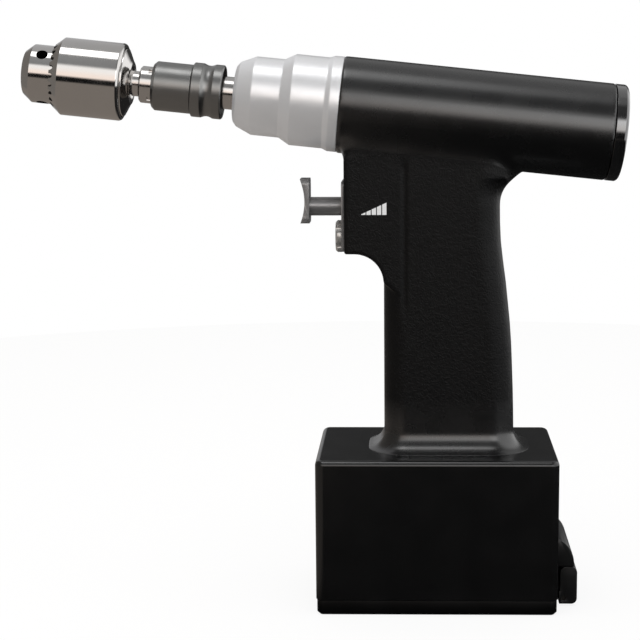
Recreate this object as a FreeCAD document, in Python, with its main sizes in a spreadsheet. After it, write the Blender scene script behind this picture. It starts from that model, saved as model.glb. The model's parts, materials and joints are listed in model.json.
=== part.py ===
"""Cordless surgical drill: pistol handpiece, quick coupling, keyed three-jaw chuck and battery base.

The origin is the centre of the flat base. +Z is up and the chuck points to -X.
Pieces on the barrel's axis are drawn in the barrel's own frame: their X runs along the axis towards
the rear, and is zero at the joint between the nose cone and the barrel.
"""
import FreeCAD, Part
import math
import os
import re
import Sketcher

DIMENSIONS = {
    # barrel
    "tilt": 6,
    "joint_x": -39.95,
    "joint_z": 209.4,
    "barrel_radius": 20,
    "barrel_wall": 2,
    "barrel_length": 112.3,
    "barrel_edge": 0.8,
    # battery box and grip
    "box_length": 100.3,
    "box_depth": 66,
    "box_top": 65.5,
    "box_wall": 3,
    "box_corner": 3.5,
    "box_edge": 2,
    "grip_front": -22,
    "grip_half": 15.5,
    "grip_front_round": 9,
    "grip_back_round": 10,
    "grip_back_foot": 32.6,
    "grip_back_low": 31.4,
    "grip_back_middle": 28.95,
    "grip_back_upper": 26.75,
    "grip_back_top": 26.25,
    "grip_low_height": 110,
    "grip_middle_height": 136,
    "grip_upper_height": 153,
    "flare_radius": 8,
    "web_radius": 12,
    "web_start": 168.3,
    "grip_wall": 4.8,
    "groove_x": -10.4,
    "groove_width": 1.8,
    "groove_depth": 0.35,
    "groove_top": 188,
    # trigger block
    "block_front": -38.25,
    "block_under": 147.3,
    "block_edge": 1.5,
    "block_inset": 0.15,
    "trigger_height": 167.2,
    "plate_thickness": 1.2,
    "plate_half_width": 11,
    "plate_low": 149,
    "plate_high": 178,
    # trigger
    "stem_radius": 3.9,
    "stem_length": 32,
    "button_rear": -52.95,
    "button_thickness": 3.8,
    "button_dish": 1.9,
    "button_half_width": 7,
    "button_low": 160.4,
    "button_high": 178.9,
    "bush_wall": 2.1,
    "bush_length": 12,
    "trigger_travel": 9,
    "clip_thickness": 0.8,
    "clip_step": 1.9,
    # selector
    "knob_height": 154.65,
    "knob_radius": 6.75,
    "knob_length": 2.6,
    "knob_flutes": 6,
    "knob_shaft_radius": 2.5,
    "knob_shaft_length": 13,
    # nose cone and gearbox
    "nose_radius": 19.7,
    "nose_rim": 3.8,
    "nose_step_radius": 18.8,
    "nose_step_start": 5.9,
    "nose_step_end": 19.7,
    "nose_waist_radius": 16.2,
    "nose_waist_start": 24.3,
    "nose_waist_end": 35.9,
    "nose_length": 43.7,
    "nose_tip_radius": 12.5,
    "nose_tip_round": 1.5,
    "spigot_length": 8,
    "gear_module": 0.75,
    "sun_teeth": 12,
    "planet_teeth": 12,
    "ring_wall": 1.8,
    "gear_width": 12,
    "gear_rear": 4,
    "ring_start": 3,
    "carrier_thickness": 3,
    "planet_pin_radius": 1.5,
    "sun_bore": 2,
    # bearings and spindle
    "bearing_bore": 4,
    "bearing_radius": 8,
    "bearing_width": 5,
    "race_wall": 1.1,
    "roller_count": 8,
    "roller_end": 0.7,
    "roller_fit": 0.02,
    "rear_bearing_at": 24.2,
    "front_bearing_at": 36,
    "seal_width": 2,
    "seal_radius": 9.4,
    "spindle_collar_radius": 6.75,
    "spindle_collar_start": 41.2,
    "spindle_collar_end": 50,
    "spindle_nose_radius": 5,
    "spindle_length": 56.6,
    # quick coupling
    "coupling_radius": 10.15,
    "coupling_front": 77.9,
    "coupling_split": 61.6,
    "coupling_core_radius": 8.3,
    "coupling_rear": 50.1,
    "coupling_edge": 1,
    "collar_radius": 11.2,
    "collar_rear": 48.6,
    "collar_bore": 10.1,
    "collar_lip_radius": 8.4,
    "collar_lip": 2.2,
    "collar_ring": 3.8,
    "collar_waist": 0.75,
    "collar_travel": 3.5,
    "clip_ring_width": 1.1,
    "shank_radius": 5.45,
    "shank_rear": 57,
    "lock_radius": 1.6,
    "lock_at": 64,
    "lock_depth": 0.8,
    "lock_stand": 1.4,
    "flange_radius": 7.6,
    "flange_rear": 75.4,
    "flange_front": 82,
    "notch_radius": 1.6,
    # chuck
    "boss_start": 85.2,
    "boss_radius": 8.6,
    "boss_end": 88.2,
    "disc_small_radius": 9.75,
    "disc_radius": 14.05,
    "disc_edge": 90.5,
    "disc_end": 92.5,
    "chuck_radius": 12,
    "chuck_nose_start": 127.7,
    "chuck_nose_radius": 9.1,
    "chuck_front": 131.2,
    "throat_radius": 3.4,
    "throat_rear": 104,
    "sleeve_radius": 16,
    "sleeve_rear": 90.4,
    "sleeve_bevel": 115.3,
    "sleeve_front": 119.2,
    "sleeve_front_radius": 12.7,
    "sleeve_chamber_radius": 14.3,
    "sleeve_chamber_end": 110.6,
    "sleeve_edge": 1.2,
    "sleeve_teeth": 24,
    "tooth_gap_width": 1.7,
    "tooth_gap_depth": 0.9,
    "key_hole_radius": 2.4,
    "key_hole_at": 123.1,
    "key_hole_floor": 6,
    "key_hole_angle": 47,
    "nut_rear": 111.2,
    "nut_width": 4,
    "nut_groove_floor": 10.5,
    "jaw_angle": 15,
    "jaw_radius": 2.45,
    "jaw_length": 20,
    "jaw_tip": 119,
    "jaw_tip_radius": 5.9,
    "jaw_flat": 3.6,
    "jaw_angle_start": 107,
    # motor
    "motor_radius": 17.9,
    "motor_front": 8.2,
    "motor_plate": 3.5,
    "motor_length": 74,
    "can_wall": 1.6,
    "magnet_wall": 2.8,
    "rotor_radius": 12.9,
    "rotor_length": 52,
    "shaft_radius": 2,
    "motor_bush_radius": 4,
    # rear cap
    "cap_length": 5.7,
    "cap_spigot": 8,
    "cap_wall": 2.4,
    "cap_round": 2.5,
    "seal_thickness": 1.2,
    # inside the grip and box
    "board_thickness": 1.6,
    "board_low": 78,
    "board_high": 150,
    "lead_radius": 1,
    "lead_spacing": 3.2,
    "switch_length": 12,
    "switch_half": 8,
    "switch_rear": 8,
    "case_gap": 0.8,
    "case_wall": 1.5,
    "case_top": 50,
    "cell_length": 65,
    "cell_gap": 0.2,
    "contact_length": 30,
    "contact_width": 24,
    "contact_pin_radius": 1.5,
    "contact_spacing": 6,
    # lid and latch
    "seam": 6.5,
    "lid_gap": 0.3,
    "lid_inset": 0.4,
    "lid_corner": 2.8,
    "lid_edge": 1.2,
    "lid_rim": 2.6,
    "lid_rim_wall": 2,
    "gasket_height": 1.2,
    "hinge_pin_radius": 0.6,
    "hinge_knuckle_radius": 1.1,
    "hinge_knuckle_length": 13,
    "latch_half_width": 20,
    "latch_thickness": 7,
    "latch_gap": 1.9,
    "latch_low": 1,
    "latch_top": 17,
    "latch_round": 2.4,
    "latch_pin_radius": 1,
    "latch_pin_stand": 3.25,
    "latch_pin_z": 3.4,
    "latch_lug_width": 5,
    "latch_lug_at": 11,
    "catch_height": 12.1,
    "catch_reach": 7.5,
    "catch_wall": 2,
    # fasteners and fits
    "screw_radius": 1.25,
    "screw_head_radius": 2.3,
    "screw_head": 1.2,
    "screw_length": 6,
    "running_fit": 0.05,
    "clearance": 0.3,
}

doc = FreeCAD.newDocument("surgical_drill")
sheet = doc.addObject("Spreadsheet::Sheet", "dims")
for row, (name, number) in enumerate(DIMENSIONS.items(), start=1):
    sheet.set(f"A{row}", name)
    sheet.set(f"B{row}", str(number))
    sheet.setAlias(f"B{row}", name)
doc.recompute()

pieces = []

# places that several pieces share
BARREL = "placement(vector(joint_x; 0; joint_z); rotation(vector(0; 1; 0); tilt))"
BARREL_ROD = "placement(vector(joint_x; 0; joint_z); rotation(vector(0; 1; 0); 90 + tilt))"
BARREL_BORE = "(barrel_radius - barrel_wall)"
GRIP_FRONT_INSIDE = "(grip_front + grip_wall)"
GRIP_BACK_INSIDE = "(grip_back_top - grip_wall - 1)"
GRIP_HALF_INSIDE = "(grip_half - grip_wall)"
PLATE_FRONT = "(block_front - plate_thickness)"
STEM_END = "(button_rear + stem_length)"
BUSH_END = "(block_front - plate_thickness + bush_length)"
GEAR_FRONT = "(gear_rear + gear_width)"
PLANET_DISTANCE = "(gear_module * (sun_teeth + planet_teeth) / 2)"
RING_PITCH_RADIUS = "(gear_module * (sun_teeth + 2 * planet_teeth) / 2)"
RING_RADIUS = "(gear_module * (sun_teeth + 2 * planet_teeth + 2) / 2 + ring_wall)"
MOTOR_REAR = "(motor_front + motor_length)"


def bound(text):
    """A size expression with every word made a cell of the sheet."""
    return re.sub(r"\b(?!deg\b)[a-z]\w*\b(?!\()", lambda word: "dims." + word.group(0), str(text))


def value(text):
    """The number that a size expression gives now."""
    return float(sheet.evalExpression(bound(text)))


def new_body(label, place=None):
    body = doc.addObject("PartDesign::Body", label)
    body.Label = label
    if place:
        body.setExpression("Placement", bound(place))
    pieces.append(body)
    return body


def origin_part(body, role):
    return next(part for part in body.Origin.OriginFeatures if part.Role == role)


def arc_between(start, end, radius):
    """A circle's arc from start to end. A positive radius turns left, a negative one right."""
    first, last = (start, end) if radius > 0 else (end, start)
    chord = (last - first)
    height = math.sqrt(max(radius ** 2 - (chord.Length / 2) ** 2, 0))
    across = FreeCAD.Vector(-chord.y, chord.x, 0).normalize()
    centre = (first + last) * 0.5 + across * height
    circle = Part.Circle(centre, FreeCAD.Vector(0, 0, 1), abs(radius))
    angles = [math.atan2(point.y - centre.y, point.x - centre.x) for point in (first, last)]
    return Part.ArcOfCircle(circle, angles[0], angles[1])


def draw(body, name, role, points, height=None):
    """A closed sketch through points (x, y) or (x, y, radius of the arc to the next point)."""
    sketch = body.newObject("Sketcher::SketchObject", name)
    sketch.AttachmentSupport = [(origin_part(body, role), "")]
    sketch.MapMode = "FlatFace"
    if height:
        sketch.setExpression("AttachmentOffset.Base.z", bound(height))
    corners = [FreeCAD.Vector(value(point[0]), value(point[1]), 0) for point in points]
    ends = []
    for index, point in enumerate(points):
        start = corners[index]
        end = corners[(index + 1) % len(points)]
        if len(point) == 2:
            sketch.addGeometry(Part.LineSegment(start, end))
            ends.append((1, 2))
        else:
            sketch.addGeometry(arc_between(start, end, value(point[2])))
            ends.append((1, 2) if value(point[2]) > 0 else (2, 1))
    for index, point in enumerate(points):
        following = (index + 1) % len(points)
        joined = (index, ends[index][1], following, ends[following][0])
        sketch.addConstraint(Sketcher.Constraint("Coincident", *joined))
        for kind, text, number in (("DistanceX", point[0], corners[index].x),
                                   ("DistanceY", point[1], corners[index].y)):
            if text == "0" and kind == "DistanceY":
                sketch.addConstraint(Sketcher.Constraint("PointOnObject", index, ends[index][0], -1))
                continue
            made = sketch.addConstraint(Sketcher.Constraint(kind, -1, 1, index, ends[index][0], number))
            sketch.setExpression(f"Constraints[{made}]", bound(text))
    for index, point in enumerate(points):
        if len(point) > 2:
            made = sketch.addConstraint(Sketcher.Constraint("Radius", index, abs(value(point[2]))))
            sketch.setExpression(f"Constraints[{made}]", bound(point[2].lstrip("-")))
    return sketch


def finish_feature(body, feature):
    body.Tip = feature
    doc.recompute()
    return feature


def turn(body, name, points, cut=False):
    """A full revolution about the body's X axis of a profile (station, radius)."""
    profile = draw(body, name + "_profile", "XY_Plane", points)
    feature = body.newObject("PartDesign::Groove" if cut else "PartDesign::Revolution", name)
    feature.Profile = profile
    feature.ReferenceAxis = (profile, ["H_Axis"])
    feature.Angle = 360
    return finish_feature(body, feature)


def turned_piece(label, points, place=BARREL):
    body = new_body(label, place)
    turn(body, label + "_turning", points)
    return body


def extrude(body, name, role, points, length, cut=False, both_sides=False, start=None, backwards=False):
    profile = draw(body, name + "_profile", role, points, start)
    feature = body.newObject("PartDesign::Pocket" if cut else "PartDesign::Pad", name)
    feature.Profile = profile
    feature.setExpression("Length", bound(length))
    feature.SideType = "Symmetric" if both_sides else "One side"
    feature.Reversed = backwards
    return finish_feature(body, feature)


def primitive(body, kind, name, place, **sizes):
    feature = body.newObject("PartDesign::" + kind, name)
    feature.AttachmentSupport = [(origin_part(body, "XY_Plane"), "")]
    feature.MapMode = "FlatFace"
    for size, text in sizes.items():
        feature.setExpression(size, bound(text))
    feature.setExpression("AttachmentOffset", bound(place))
    return finish_feature(body, feature)


def block(body, name, low, high, cut=False):
    """A box between two corners."""
    kind = "SubtractiveBox" if cut else "AdditiveBox"
    length, width, height = (f"({end}) - ({begin})" for begin, end in zip(low, high))
    place = "placement(vector({}; {}; {}); rotation(vector(0; 0; 1); 0))".format(*low)
    return primitive(body, kind, name, place, Length=length, Width=width, Height=height)


def rod(body, name, start, length, radius, turned="rotation(vector(0; 1; 0); 90)", cut=False):
    """A round rod that starts at a point. Unless turned says otherwise it runs along +X."""
    kind = "SubtractiveCylinder" if cut else "AdditiveCylinder"
    place = "placement(vector({}; {}; {}); {})".format(*start, turned)
    return primitive(body, kind, name, place, Radius=radius, Height=length)


def repeat_round(body, name, feature, count):
    """Copies of a feature, evenly round the body's X axis."""
    pattern = body.newObject("PartDesign::PolarPattern", name)
    pattern.Originals = [feature]
    pattern.Axis = (origin_part(body, "X_Axis"), [""])
    pattern.Angle = 360
    pattern.setExpression("Occurrences", bound(count))
    return finish_feature(body, pattern)


def soften(body, name, radius, chosen, kind="Fillet"):
    """Rounds or chamfers the edges for which chosen(edge) is true."""
    base = body.Tip
    names = [f"Edge{number}" for number, edge in enumerate(base.Shape.Edges, start=1) if chosen(edge)]
    feature = body.newObject("PartDesign::" + kind, name)
    feature.Base = (base, names)
    feature.setExpression("Radius" if kind == "Fillet" else "Size", bound(radius))
    return finish_feature(body, feature)


def all_at(edge, axis, text):
    """True where the whole edge lies at one height, or one place along another axis."""
    limits = {"x": ("XMin", "XMax"), "y": ("YMin", "YMax"), "z": ("ZMin", "ZMax")}[axis]
    place = value(text)
    return all(abs(getattr(edge.BoundBox, limit) - place) < 0.02 for limit in limits)


def rounded_outline(front, back, half, front_round, back_round):
    """A rectangle with arcs for corners, as the grip is cut across."""
    low = f"-{half}"
    return [
        (f"{front} + {front_round}", low),
        (f"{back} - {back_round}", low, back_round),
        (back, f"{low} + {back_round}"),
        (back, f"{half} - {back_round}", back_round),
        (f"{back} - {back_round}", half),
        (f"{front} + {front_round}", half, front_round),
        (front, f"{half} - {front_round}"),
        (front, f"{low} + {front_round}", front_round),
    ]


def loft(body, name, sections):
    """A solid through grip sections (height, front, back, half, front rounding, back rounding)."""
    drawn = []
    for index, (height, *sizes) in enumerate(sections):
        drawn.append(draw(body, f"{name}_section_{index}", "XY_Plane", rounded_outline(*sizes), height))
    feature = body.newObject("PartDesign::AdditiveLoft", name)
    feature.Profile = drawn[0]
    feature.Sections = drawn[1:]
    feature.Ruled = True
    return finish_feature(body, feature)


def compound(label, members):
    """One node that holds a group of separate solids."""
    group = doc.addObject("Part::Compound", label)
    group.Label = label
    group.Links = members
    pieces.append(group)
    return group


def loose_cylinder(name, place, radius, length):
    cylinder = doc.addObject("Part::Cylinder", name)
    cylinder.setExpression("Radius", bound(radius))
    cylinder.setExpression("Height", bound(length))
    cylinder.setExpression("Placement", bound(place))
    return cylinder


def loose_box(name, low, high):
    box = doc.addObject("Part::Box", name)
    for size, begin, end in zip(("Length", "Width", "Height"), low, high):
        box.setExpression(size, bound(f"({end}) - ({begin})"))
    place = "placement(vector({}; {}; {}); rotation(vector(0; 0; 1); 0))".format(*low)
    box.setExpression("Placement", bound(place))
    return box


def at(x, y, z, axis="0; 0; 1", angle="0"):
    return f"placement(vector({x}; {y}; {z}); rotation(vector({axis}); {angle}))"


def battery_box(body):
    half_length = "(box_length / 2)"
    half_depth = "(box_depth / 2)"
    outline = rounded_outline(f"-{half_length}", half_length, half_depth, "box_corner", "box_corner")
    extrude(body, "box", "XY_Plane", outline, "box_top - seam", start="seam")
    soften(body, "box_top_edge", "box_edge", lambda edge: all_at(edge, "z", "box_top"))


def grip(body):
    """The hand grip in one skin: a hollow curve at its foot, a palm swell, and a curve into the barrel."""
    shape = ("grip_half", "grip_front_round", "grip_back_round")
    sections = []
    for angle in (80, 68, 56, 44, 32, 20, 9):
        height = f"box_top + flare_radius * (1 - sin({angle} * 1 deg))"
        reach = f"flare_radius * (1 - cos({angle} * 1 deg))"
        sections.append((height, f"(grip_front - {reach})", f"(grip_back_foot + {reach})",
                         f"(grip_half + {reach})", f"(grip_front_round + {reach})",
                         f"(grip_back_round + {reach})"))
    sections.insert(0, ("box_top - box_wall / 2", *sections[0][1:]))
    sections += [
        ("box_top + flare_radius", "grip_front", "grip_back_foot", *shape),
        ("grip_low_height", "grip_front", "grip_back_low", *shape),
        ("grip_middle_height", "grip_front", "grip_back_middle", *shape),
        ("grip_upper_height", "grip_front", "grip_back_upper", *shape),
    ]
    for angle in (0, 12, 24, 36, 48, 60, 72):
        height = f"web_start + web_radius * sin({angle} * 1 deg)"
        back = f"grip_back_top + web_radius * (1 - cos({angle} * 1 deg))"
        rounding = f"(grip_back_round + (grip_half - grip_back_round - 0.4) * {angle / 72:.3f})"
        sections.append((height, "grip_front", back, "grip_half", "grip_front_round", rounding))
    sections.append(("joint_z - barrel_radius + 3", *sections[-1][1:]))
    loft(body, "grip", sections)


def trigger_block(body):
    """The flat-sided block that carries the trigger, with a hollow curve down to the grip's front."""
    foot = "block_under - web_radius"
    extrude(body, "trigger_block", "XZ_Plane", [
        ("block_front", "block_under"),
        ("grip_front - web_radius", "block_under", "-web_radius"),
        ("grip_front", foot),
        ("grip_front + grip_front_round", f"{foot} - grip_front_round * 0.8"),
        ("groove_x - 1", f"{foot} - grip_front_round * 0.8"),
        ("groove_x - 1", "joint_z - barrel_radius / 2"),
        ("block_front", "joint_z - barrel_radius / 2"),
    ], "(grip_half - block_inset) * 2", both_sides=True)
    soften(body, "block_front_edges", "block_edge",
           lambda edge: all_at(edge, "x", "block_front") and edge.BoundBox.ZLength > 5)


def side_grooves(body):
    """The shallow line down each side where the block's flat meets the grip's flat."""
    for side in (-1, 1):
        inner = f"{side} * (grip_half - groove_depth)"
        outer = f"{side} * (grip_half + 1)"
        low_y, high_y = (outer, inner) if side < 0 else (inner, outer)
        block(body, f"side_groove_{side + 2}", ("groove_x", low_y, "block_under - web_radius - 6"),
              ("groove_x + groove_width", high_y, "groove_top"), cut=True)


def handpiece_body():
    """One casting: barrel, trigger block, grip and battery box, hollow for what it carries."""
    body = new_body("handpiece_body")
    battery_box(body)
    grip(body)
    side_grooves(body)
    trigger_block(body)
    primitive(body, "AdditiveCylinder", "barrel", BARREL_ROD, Radius="barrel_radius", Height="barrel_length")
    joint = FreeCAD.Vector(value("joint_x"), 0, value("joint_z"))
    soften(body, "barrel_front_edge", "barrel_edge",
           lambda edge: edge.CenterOfMass.distanceToPoint(joint) < 0.1, kind="Chamfer")
    primitive(body, "SubtractiveCylinder", "barrel_bore", BARREL_ROD, Radius=BARREL_BORE,
              Height="barrel_length + 1")
    block(body, "grip_cavity", (GRIP_FRONT_INSIDE, f"-{GRIP_HALF_INSIDE}", "box_top - box_wall - 5"),
          (GRIP_BACK_INSIDE, GRIP_HALF_INSIDE, "joint_z - barrel_radius - 1"), cut=True)
    block(body, "battery_bay", ("box_wall - box_length / 2", "box_wall - box_depth / 2", "seam - 1"),
          ("box_length / 2 - box_wall", "box_depth / 2 - box_wall", "box_top - box_wall - 1"), cut=True)
    block(body, "trigger_cavity", (BUSH_END, "-switch_half - 1", "block_under + 2.4"),
          (f"{GRIP_FRONT_INSIDE} + 1", "switch_half + 1", "trigger_height + switch_half + 2"), cut=True)
    rod(body, "bush_hole", ("block_front - 1", "0", "trigger_height"), "bush_length + 3",
        "stem_radius + running_fit + bush_wall", cut=True)
    rod(body, "selector_hole", ("block_front - 1", "0", "knob_height"), "bush_length + 3",
        "knob_shaft_radius + running_fit", cut=True)
    hinge_cuts(body)
    screw_holes(body)


def knuckle_spans():
    """Where along Y the lid's two knuckles and the box's middle knuckle lie."""
    inner = "hinge_knuckle_length / 2"
    outer = "hinge_knuckle_length * 1.5"
    return [(f"-({outer})", f"-({inner}) - clearance / 2"), (f"{inner} + clearance / 2", outer)]


HINGE_X = "(lid_inset - box_length / 2)"
HINGE_Z = "(seam - lid_gap / 2)"
LATCH_PIN_X = "(box_length / 2 + latch_pin_stand)"
ALONG_Y = "rotation(vector(1; 0; 0); -90)"


def hinge_cuts(body):
    """The box's middle knuckle and the room for the lid's knuckles, at the front bottom edge."""
    for index, (begin, end) in enumerate(knuckle_spans()):
        rod(body, f"knuckle_room_{index}", (HINGE_X, f"{begin} - clearance / 2", HINGE_Z),
            f"({end}) - ({begin}) + clearance", "hinge_knuckle_radius + clearance / 2", ALONG_Y, cut=True)
    rod(body, "box_knuckle", (HINGE_X, "clearance / 2 - hinge_knuckle_length / 2", HINGE_Z),
        "hinge_knuckle_length - clearance", "hinge_knuckle_radius", ALONG_Y)
    rod(body, "hinge_pin_hole", (HINGE_X, "-hinge_knuckle_length * 1.5 - 1", HINGE_Z),
        "hinge_knuckle_length * 3 + 2", "hinge_pin_radius", ALONG_Y, cut=True)


CATCH_SCREWS = [("box_length / 2 + catch_wall", f"{side} * latch_half_width * 0.6",
                 "latch_top + lid_gap + catch_height * 0.62") for side in (-1, 1)]
PLATE_SCREWS = [("block_front - plate_thickness", f"{side} * plate_half_width * 0.72",
                 "plate_high - 4.2") for side in (-1, 1)]


def screw_holes(body):
    for index, place in enumerate(CATCH_SCREWS):
        rod(body, f"catch_screw_hole_{index}", ("box_length / 2 - box_wall - 1", *place[1:]),
            "box_wall + 2", "screw_radius", cut=True)
    for index, place in enumerate(PLATE_SCREWS):
        rod(body, f"plate_screw_hole_{index}", ("block_front - 1", *place[1:]), "screw_length",
            "screw_radius", cut=True)


def countersunk_screws():
    """Four alike screws: two hold the latch's catch and two the trigger's plate."""
    members = []
    for index, (places, turned) in enumerate(((CATCH_SCREWS, "-90"), (PLATE_SCREWS, "90"))):
        for number, (x, y, z) in enumerate(places):
            name = f"screw_{index}_{number}"
            head = doc.addObject("Part::Cone", name + "_head")
            head.setExpression("Radius1", bound("screw_head_radius"))
            head.setExpression("Radius2", bound("screw_radius"))
            head.setExpression("Height", bound("screw_head"))
            shank = loose_cylinder(name + "_shank", at("0", "0", "0"), "screw_radius",
                                   "screw_length" if index else "box_wall + catch_wall")
            whole = doc.addObject("Part::Fuse", name)
            whole.Base = head
            whole.Tool = shank
            whole.setExpression("Placement", bound(at(x, y, z, "0; 1; 0", turned)))
            members.append(whole)
    compound("countersunk_screws", members)


def screw_seats(body, places, towards):
    """Countersunk holes through a thin plate, for the screws that hold it."""
    for index, (x, y, z) in enumerate(places):
        turned = f"rotation(vector(0; 1; 0); {towards})"
        primitive(body, "SubtractiveCone", f"countersink_{index}",
                  f"placement(vector({x}; {y}; {z}); {turned})",
                  Radius1="screw_head_radius + 0.02", Radius2="screw_radius + 0.02", Height="screw_head + 0.02")
        rod(body, f"screw_hole_{index}", (x, y, z), "screw_length", "screw_radius + 0.02", turned, cut=True)


def nose_cone():
    """The bright front housing: it plugs into the barrel and holds the gears and bearings."""
    body = turned_piece("nose_cone", [
        ("spigot_length", f"{RING_RADIUS} + running_fit"),
        ("spigot_length", f"{BARREL_BORE} - running_fit"),
        ("0", f"{BARREL_BORE} - running_fit"),
        ("0", "nose_radius"),
        ("-nose_rim", "nose_radius"),
        ("-nose_step_start", "nose_step_radius"),
        ("-nose_step_end", "nose_step_radius"),
        ("-nose_waist_start", "nose_waist_radius"),
        ("-nose_waist_end", "nose_waist_radius"),
        ("nose_tip_round - nose_length", "nose_tip_radius + nose_tip_round * 0.6"),
        ("-nose_length", "nose_tip_radius - nose_tip_round * 0.6"),
        ("-nose_length", "seal_radius"),
        ("-front_bearing_at - bearing_width", "seal_radius"),
        ("-front_bearing_at - bearing_width", "bearing_radius"),
        ("-front_bearing_at", "bearing_radius"),
        ("-front_bearing_at", "bearing_radius - 1"),
        ("-rear_bearing_at - bearing_width", "bearing_radius - 1"),
        ("-rear_bearing_at - bearing_width", "bearing_radius"),
        ("-rear_bearing_at + 0.6", "bearing_radius"),
        (f"-{GEAR_FRONT} - carrier_thickness - 3.2", f"{RING_RADIUS} - ring_wall"),
        (f"-{GEAR_FRONT} - 0.4", f"{RING_RADIUS} - ring_wall"),
        (f"-{GEAR_FRONT} - 0.4", f"{RING_RADIUS} + running_fit"),
    ])
    turn(body, "seal_groove", seal_groove("spigot_length / 2"), cut=True)


def seal_groove(station):
    """The square groove in a spigot that a rubber ring lies in."""
    half = "seal_thickness * 0.6"
    floor = f"{BARREL_BORE} - seal_thickness"
    return [(f"{station} - {half}", floor), (f"{station} + {half}", floor),
            (f"{station} + {half}", f"{BARREL_BORE} + 1"), (f"{station} - {half}", f"{BARREL_BORE} + 1")]


def seal_ring(label, station):
    """A rubber ring of square section in a spigot's groove."""
    half = "seal_thickness / 2"
    floor = f"{BARREL_BORE} - seal_thickness"
    turned_piece(label, [(f"{station} - {half}", floor), (f"{station} - {half}", f"{BARREL_BORE} - 0.01"),
                         (f"{station} + {half}", f"{BARREL_BORE} - 0.01"), (f"{station} + {half}", floor)])


def rear_cap():
    """The gloss plug that closes the barrel behind the motor."""
    edge = "(barrel_length + cap_length)"
    body = turned_piece("rear_cap", [
        ("barrel_length - cap_spigot", f"{BARREL_BORE} - running_fit - cap_wall - seal_thickness"),
        ("barrel_length - cap_spigot", f"{BARREL_BORE} - running_fit"),
        ("barrel_length", f"{BARREL_BORE} - running_fit"),
        ("barrel_length", "barrel_radius"),
        (f"{edge} - cap_round", "barrel_radius"),
        (f"{edge} - cap_round / 3", "barrel_radius - cap_round / 3"),
        (edge, "barrel_radius - cap_round"),
        (edge, "0"),
        (f"{edge} - cap_wall", "0"),
        (f"{edge} - cap_wall", f"{BARREL_BORE} - running_fit - cap_wall - seal_thickness"),
    ])
    turn(body, "seal_groove", seal_groove("barrel_length - cap_spigot / 2"), cut=True)


def tooth(body, name, radius, inward, bore_side):
    """One straight-sided gear tooth at the top of a gear that turns about X."""
    reach = "gear_module * 0.75"
    root = "gear_module * 1.1"
    half_tip = "gear_module * 0.38"
    half_root = "gear_module * 0.92"
    sign = "-" if inward else "+"
    back = "+" if inward else "-"
    low = f"{radius} {back} {root} {back} 0.2"
    high = f"{radius} {sign} {reach}"
    points = [(f"-({half_root})", low), (half_root, low), (half_tip, high), (f"-({half_tip})", high)]
    if inward:
        points.reverse()
    return extrude(body, name, "YZ_Plane", points, bore_side[1], start=bore_side[0])


def ring_gear():
    body = turned_piece("ring_gear", [
        (f"-{GEAR_FRONT} - 0.3", f"{RING_PITCH_RADIUS} + gear_module * 1.1"),
        (f"-{GEAR_FRONT} - 0.3", RING_RADIUS),
        ("-ring_start", RING_RADIUS),
        ("-ring_start", f"{RING_PITCH_RADIUS} + gear_module * 1.1"),
    ])
    width = (f"-{GEAR_FRONT} - 0.3", f"{GEAR_FRONT} + 0.3 - ring_start")
    first = tooth(body, "ring_tooth", RING_PITCH_RADIUS, True, width)
    repeat_round(body, "ring_teeth", first, "sun_teeth + 2 * planet_teeth")


def pinion(label, teeth, bore, place, rear, length):
    pitch_radius = f"(gear_module * {teeth} / 2)"
    root_radius = f"{pitch_radius} - gear_module * 1.1"
    front = f"{rear} - {length}"
    body = turned_piece(label, [(front, bore), (front, root_radius), (rear, root_radius), (rear, bore)], place)
    first = tooth(body, label + "_tooth", pitch_radius, False, (front, length))
    repeat_round(body, label + "_teeth", first, teeth)


def gears():
    """Sun on the motor's shaft, three planets on the carrier's pins."""
    pinion("sun_gear", "sun_teeth", "sun_bore", BARREL, "-gear_rear", "gear_width")
    for index in range(3):
        place = (f"{BARREL} * placement(vector(0; 0; 0); rotation(vector(1; 0; 0); {120 * index})) * "
                 f"placement(vector(0; 0; {PLANET_DISTANCE}); rotation(vector(1; 0; 0); 180 / planet_teeth))")
        pinion(f"planet_gear_{index + 1}", "planet_teeth", "planet_pin_radius + running_fit", place,
               "-gear_rear", "gear_width")


def output_spindle():
    """Planet carrier and output shaft in one piece, with the three planet pins."""
    disc_rear = f"-{GEAR_FRONT} - 0.5"
    disc_front = f"{disc_rear} - carrier_thickness"
    body = turned_piece("output_spindle", [
        (disc_rear, "0"),
        (disc_rear, f"{PLANET_DISTANCE} + planet_pin_radius + 1.4"),
        (disc_front, f"{PLANET_DISTANCE} + planet_pin_radius + 1.4"),
        (disc_front, "bearing_bore + 1"),
        ("-rear_bearing_at", "bearing_bore + 1"),
        ("-rear_bearing_at", "bearing_bore"),
        ("-spindle_collar_start", "bearing_bore"),
        ("-spindle_collar_start", "spindle_collar_radius"),
        ("-spindle_collar_end", "spindle_collar_radius"),
        ("-spindle_collar_end", "spindle_nose_radius"),
        ("-spindle_length", "spindle_nose_radius"),
        ("-spindle_length", "0"),
    ])
    pin = rod(body, "planet_pin", (f"{disc_rear} - 1", "0", PLANET_DISTANCE), "gear_width + 1.2",
              "planet_pin_radius")
    repeat_round(body, "planet_pins", pin, "3")


def race_rings(label, inner, outer):
    """Two alike bearing rings, one in each of the nose cone's seats."""
    members = []
    for index, station in enumerate(("rear_bearing_at", "front_bearing_at")):
        ring = doc.addObject("Part::Cut", f"{label}_{index}")
        start = f"{BARREL} * placement(vector(-{station} - bearing_width; 0; 0); rotation(vector(0; 1; 0); 90))"
        ring.Base = loose_cylinder(f"{label}_outside_{index}", start, outer, "bearing_width")
        ring.Tool = loose_cylinder(f"{label}_inside_{index}", start, inner, "bearing_width")
        members.append(ring)
    compound(label, members)


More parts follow.
